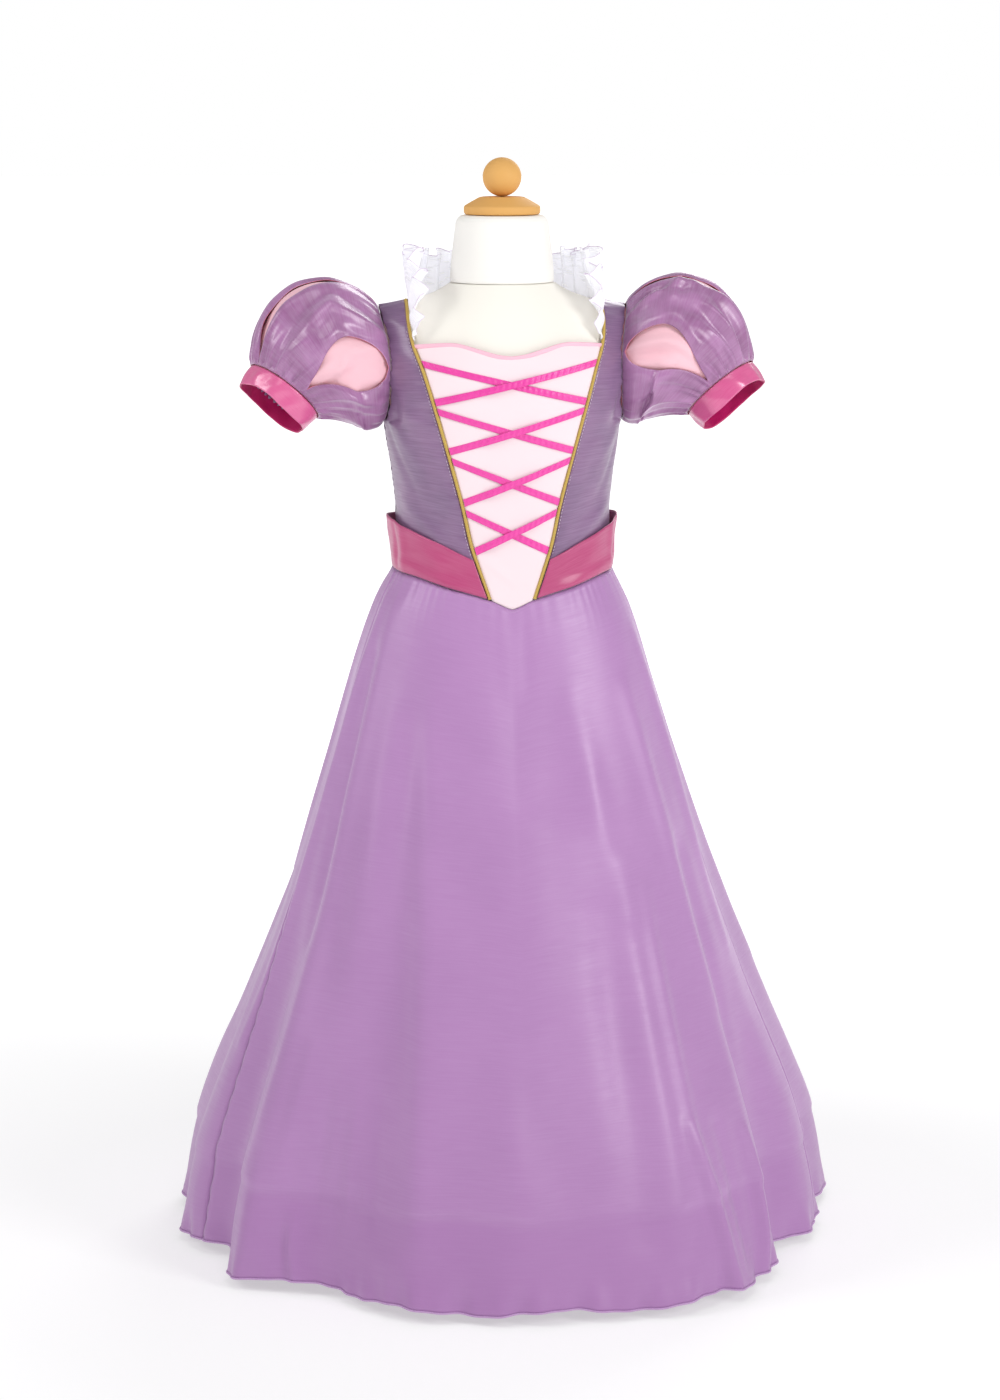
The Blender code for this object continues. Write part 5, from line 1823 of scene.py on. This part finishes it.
SLEEVES = (
    Sleeve(
        side=Side.RIGHT,
        armhole=(0.1195, 0.000, 0.8395),
        middle=(0.1660, 0.001, 0.8600),
        cuff=(0.2010, -0.018, 0.8130),
        facing=(0.62, -0.26, -0.74),
        top=Slash(12.0, 7.5, 0.50, 18.0),
        front=Slash(98.0, 22.0, 0.28, 12.0),
        back=Slash(268.0, 12.0, 0.42),
        creases=(
            Crease((40, 0.36), (52, 0.86), 0.011, -0.0042, 0.004),
            Crease((30, 0.20), (60, 0.60), 0.008, 0.0034, -0.003),
            Crease((62, 0.02), (48, 0.34), 0.005, 0.0030),
            Crease((52, 0.03), (34, 0.30), 0.005, -0.0026),
            Crease((75, 0.03), (66, 0.32), 0.005, -0.0022),
            Crease((70, 0.60), (64, 0.96), 0.007, 0.0028),
            Crease((20, 0.70), (24, 0.96), 0.006, -0.0022),
            Crease((128, 0.10), (126, 0.90), 0.006, 0.0030, 0.004),
            Crease((146, 0.20), (150, 0.90), 0.007, -0.0034),
            Crease((164, 0.10), (162, 0.80), 0.007, 0.0030),
            Crease((205, 0.20), (215, 0.85), 0.008, -0.0034),
            Crease((236, 0.10), (228, 0.80), 0.008, 0.0030),
            Crease((300, 0.20), (306, 0.80), 0.010, -0.0036),
            Crease((326, 0.10), (330, 0.60), 0.008, 0.0030),
            Crease((290, 0.62), (296, 0.96), 0.006, 0.0026),
        ),
        under_creases=(
            Crease((78, 0.06), (108, 0.62), 0.005, 0.0034, 0.004),
            Crease((98, 0.20), (112, 0.80), 0.005, -0.0034),
            Crease((104, 0.05), (120, 0.50), 0.005, 0.0026),
            Crease((88, 0.40), (98, 0.94), 0.004, 0.0022),
            Crease((262, 0.10), (272, 0.80), 0.005, 0.0030),
            Crease((278, 0.20), (266, 0.70), 0.005, -0.0026),
        ),
    ),
    Sleeve(
        side=Side.LEFT,
        armhole=(0.1195, 0.000, 0.8395),
        middle=(0.1600, 0.001, 0.8640),
        cuff=(0.2010, -0.016, 0.8120),
        facing=(0.58, -0.34, -0.74),
        top=Slash(9.0, 7.5, 0.42, 4.0),
        front=Slash(90.0, 18.0, 0.28, 22.0),
        back=Slash(270.0, 12.0, 0.42),
        creases=(
            Crease((30, 0.04), (34, 0.34), 0.006, -0.0048, 0.004),
            Crease((46, 0.03), (26, 0.40), 0.005, 0.0040, 0.004),
            Crease((22, 0.30), (40, 0.30), 0.005, 0.0030),
            Crease((52, 0.46), (66, 0.94), 0.008, -0.0036, 0.005),
            Crease((44, 0.60), (48, 0.96), 0.005, 0.0032),
            Crease((36, 0.66), (34, 0.96), 0.005, -0.0028),
            Crease((24, 0.58), (20, 0.94), 0.006, 0.0026),
            Crease((60, 0.70), (58, 0.97), 0.004, 0.0026),
            Crease((112, 0.36), (132, 0.70), 0.006, 0.0036, -0.006),
            Crease((134, 0.20), (126, 0.94), 0.007, -0.0034, 0.006),
            Crease((150, 0.30), (140, 0.96), 0.005, 0.0036, 0.006),
            Crease((166, 0.10), (160, 0.94), 0.006, -0.0028),
            Crease((205, 0.10), (214, 0.85), 0.008, 0.0032),
            Crease((230, 0.20), (226, 0.85), 0.008, -0.0034),
            Crease((298, 0.10), (304, 0.80), 0.010, 0.0034),
            Crease((324, 0.20), (332, 0.70), 0.009, -0.0034),
            Crease((346, 0.30), (342, 0.95), 0.007, 0.0024),
        ),
        under_creases=(
            Crease((78, 0.04), (94, 0.90), 0.004, 0.0036, 0.003),
            Crease((86, 0.06), (98, 0.60), 0.004, -0.0036),
            Crease((94, 0.05), (100, 0.80), 0.005, 0.0026),
            Crease((262, 0.10), (272, 0.80), 0.005, 0.0030),
            Crease((278, 0.20), (266, 0.70), 0.005, -0.0026),
        ),
    ),
)


class DressForm:
    """The limbless form: jersey torso, linen neck, turned cap and knob, pole and foot."""

    clear_body = 0.0042
    clear_shoulder = 0.0022
    arm_pull = 0.0040
    knob_radius = 0.0177
    knob_z = 1.0050
    cap = (
        (0.0000, 0.9872),
        (0.0180, 0.9872),
        (0.0205, 0.9868),
        (0.0225, 0.9858),
        (0.0280, 0.9828),
        (0.0335, 0.9796),
        (0.0346, 0.9787),
        (0.0350, 0.9772),
        (0.0350, 0.9738),
        (0.0346, 0.9722),
        (0.0336, 0.9714),
        (0.0000, 0.9714),
    )
    neck = (
        (0.0000, 0.9708),
        (0.0340, 0.9708),
        (0.0378, 0.9702),
        (0.0402, 0.9686),
        (0.0422, 0.9655),
        (0.0431, 0.9610),
        (0.0436, 0.9560),
        (0.0445, 0.9480),
        (0.0455, 0.9400),
        (0.0463, 0.9320),
        (0.0470, 0.9250),
        (0.0475, 0.9170),
        (0.0477, 0.9125),
        (0.0470, 0.9104),
        (0.0000, 0.9104),
    )

    def turned(self, name: str, profile: Sequence[tuple[float, float]], finish: Finish, slot: str, node: str) -> bpy.types.Object:
        """A turned piece from its profile, read down the outer side."""
        line = np.array([(radius, 0.0, z) for radius, z in profile])
        fine = np.concatenate([np.linspace(a, b, 5, endpoint=False) for a, b in zip(line, line[1:])] + [line[-1:]])
        turn = np.linspace(0.0, 2.0 * np.pi, 97)
        radius, z = np.maximum(fine[:, 0], 1e-5)[:, None], fine[:, 2][:, None]
        points = stacked(radius * np.cos(turn), radius * np.sin(turn), z)
        return ROOM.piece(name, [Net(points[::-1], closed=True)], finish, slot, [node])

    def torso_point(self, angle: Array, share: float) -> Array:
        """Points of the form above the chest."""
        x = np.abs(section(angle, 0.1160, 1.0, 1.0, BODY_POWER)[0])
        ridge = RIDGE(x)
        top = np.where(ridge > NECK_SEAM_Z, np.degrees(np.arcsin(np.minimum((NECK_SEAM_Z - CHEST_Z) / (ridge - CHEST_Z), 1.0))), 90.0)
        phi = top * share
        point = FIGURE.shoulder(angle, phi)
        low = np.minimum(phi, 88.0)
        across = FIGURE.shoulder(angle + 0.05, low) - FIGURE.shoulder(angle - 0.05, low)
        down = FIGURE.shoulder(angle, low - 0.5) - FIGURE.shoulder(angle, low + 0.5)
        normal = np.cross(across, down)
        normal /= np.linalg.norm(normal, axis=-1, keepdims=True)
        here = point * np.array((1.0, 1.0, 0.0)) + np.array((0.0, 0.0, 0.03))
        normal = np.where(np.sum(normal * here, axis=-1, keepdims=True) > 0, normal, -normal)
        clear = mix(self.clear_body, self.clear_shoulder, share**6)
        under = ease((np.abs(point[..., 0]) - 0.045) / 0.020)
        return point - normal * (clear * mix(1.0, under, share**3))[..., None]

    def torso(self) -> bpy.types.Object:
        """The padded torso, to its flat bottom."""
        angle = np.linspace(-180.0, 180.0, 193)
        rows = [FIGURE.at(angle, np.full(193, FORM_BOTTOM_Z)) * np.array((0.0, 0.0, 1.0))]
        for z in np.linspace(FORM_BOTTOM_Z, 0.790, 40):
            level = np.full(193, z)
            rows.append(FIGURE.at(angle, level) - FIGURE.normal(angle, level) * self.clear_body)
        for share in np.linspace(0.0, 1.0, 48):
            rows.append(self.torso_point(angle, share))
        rows[1][:, 2] = FORM_BOTTOM_Z
        rows.append(rows[-1] * np.array((1.0, 0.0, 1.0)))
        points = np.array(rows)
        arm = ease((np.abs(points[..., 0]) - 0.092) / 0.018) * ease((points[..., 2] - 0.760) / 0.025)
        points[..., 0] -= np.sign(points[..., 0]) * arm * self.arm_pull
        return ROOM.piece("torso_cover", [Net(points, closed=True)], JERSEY, "jersey", ["form_torso"])

    def build(self) -> None:
        """Make the form and dress the stand."""
        self.torso()
        self.turned("neck_cover", self.neck, LINEN, "linen", "form_neck")
        self.turned("cap_turned", self.cap, BEECH, "beech", "form_cap")
        knob = [
            (self.knob_radius * math.sin(math.radians(a)), self.knob_z + self.knob_radius * math.cos(math.radians(a)))
            for a in range(0, 181, 6)
        ]
        self.turned("knob_turned", knob, BEECH, "beech", "form_knob")
        for node, finish in (("stand_pole", STEEL), ("stand_foot", BEECH)):
            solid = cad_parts[node]
            solid.data.materials.clear()
            solid.data.materials.append(finish.material())
            log.info("%s keeps its solid", node)


class Studio:
    """A plain pale floor, soft lights and the camera at the photograph's angle."""

    camera_place = (-0.3363, -3.1823, 1.113)
    azimuth = -6.0
    elevation = 10.5
    focal_pixels = 3473.0
    image_height = 1400
    sensor = 36.0
    surround = 0.36

    def floor(self) -> None:
        """A wide pale floor."""
        bpy.ops.mesh.primitive_circle_add(vertices=96, radius=30.0, fill_type="NGON")
        floor = bpy.context.object
        floor.name = "floor"
        graph = Graph("floor_paper")
        place = graph.add("TexCoord").outputs["Object"]
        grain = graph.noise(place, 180.0, 2.0)
        colour = graph.blend(grain, (0.56, 0.56, 0.565), (0.58, 0.58, 0.585))
        away = graph.add("VectorMath", {0: place}, operation="LENGTH").outputs["Value"]
        lit = graph.add("MapRange", {"Value": away, "From Min": 0.5, "From Max": 3.0, "To Min": 0.5, "To Max": 1.0})
        floor.data.materials.append(graph.surface(
            {
                "Base Color": colour,
                "Roughness": 0.9,
                "Specular IOR Level": 0.1,
                "Emission Color": (1.0, 1.0, 1.0),
                "Emission Strength": lit.outputs["Result"],
            }
        ))
        floor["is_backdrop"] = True

    def light(self, name: str, place: Colour, aim: Colour, size: float, power: float, tint: Colour = (1.0, 1.0, 1.0)) -> None:
        """A square soft light.

        Args:
            name: Its name.
            place: Where it stands.
            aim: Where it points.
            size: The length of its sides.
            power: Its power in watts.
            tint: Its colour.
        """
        data = bpy.data.lights.new(name, "AREA")
        data.size = size
        data.energy = power
        data.color = tint
        lamp = bpy.data.objects.new(name, data)
        lamp.location = place
        lamp.rotation_mode = "QUATERNION"
        lamp.rotation_quaternion = (Vector(aim) - Vector(place)).to_track_quat("-Z", "Y")
        bpy.context.scene.collection.objects.link(lamp)

    def lights(self) -> None:
        """A pale surround, a large light in front on each side and one above."""
        world = bpy.data.worlds.new("surround")
        world.use_nodes = True
        tree = world.node_tree
        background = tree.nodes["Background"]
        background.inputs["Color"].default_value = (1.0, 1.0, 1.0, 1.0)
        seen = tree.nodes.new("ShaderNodeMapRange")
        seen.inputs["To Min"].default_value = self.surround
        tree.links.new(tree.nodes.new("ShaderNodeLightPath").outputs["Is Camera Ray"], seen.inputs["Value"])
        tree.links.new(seen.outputs["Result"], background.inputs["Strength"])
        bpy.context.scene.world = world
        bpy.context.scene.view_settings.view_transform = "Standard"
        self.light("key", (2.4, -2.5, 1.9), (0.0, 0.0, 0.55), 1.3, 52.0)
        self.light("fill", (-2.8, -0.7, 2.4), (0.0, 0.0, 0.6), 1.3, 30.0)
        self.light("top", (0.0, -1.4, 3.0), (0.0, 0.0, 0.6), 1.4, 14.0)
        self.light("rim", (1.2, 2.4, 2.2), (0.0, 0.0, 0.7), 1.4, 26.0)

    def camera(self) -> None:
        """The camera, level with the photograph's view."""
        data = bpy.data.cameras.new("camera")
        data.sensor_width = self.sensor
        data.sensor_fit = "AUTO"
        data.lens = self.focal_pixels / self.image_height * self.sensor
        camera = bpy.data.objects.new("camera", data)
        camera.location = self.camera_place
        az, el = math.radians(self.azimuth), math.radians(self.elevation)
        back = Vector((math.sin(az) * math.cos(el), -math.cos(az) * math.cos(el), math.sin(el)))
        camera.rotation_mode = "QUATERNION"
        camera.rotation_quaternion = (-back).to_track_quat("-Z", "Y")
        bpy.context.scene.collection.objects.link(camera)
        bpy.context.scene.camera = camera

    def build(self) -> None:
        """Set up the whole studio."""
        self.floor()
        self.lights()
        self.camera()


def corners() -> dict[str, list[float]]:
    """The shown object's box, as plain lists."""
    low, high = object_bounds()
    return {"low": [round(v, 5) for v in low], "high": [round(v, 5) for v in high]}


def main() -> None:
    """Build the dress and the form in order."""
    logging.basicConfig(level=logging.INFO, format="%(name)s: %(message)s")
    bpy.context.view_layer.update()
    Studio().build()
    DressForm().build()
    back_top = Bodice().build()
    Sash().build()
    Skirt().build()
    NeckRuffle().build(back_top)
    for sleeve in SLEEVES:
        sleeve.build()
    bpy.context.view_layer.update()


if __name__ == "__main__":
    main()
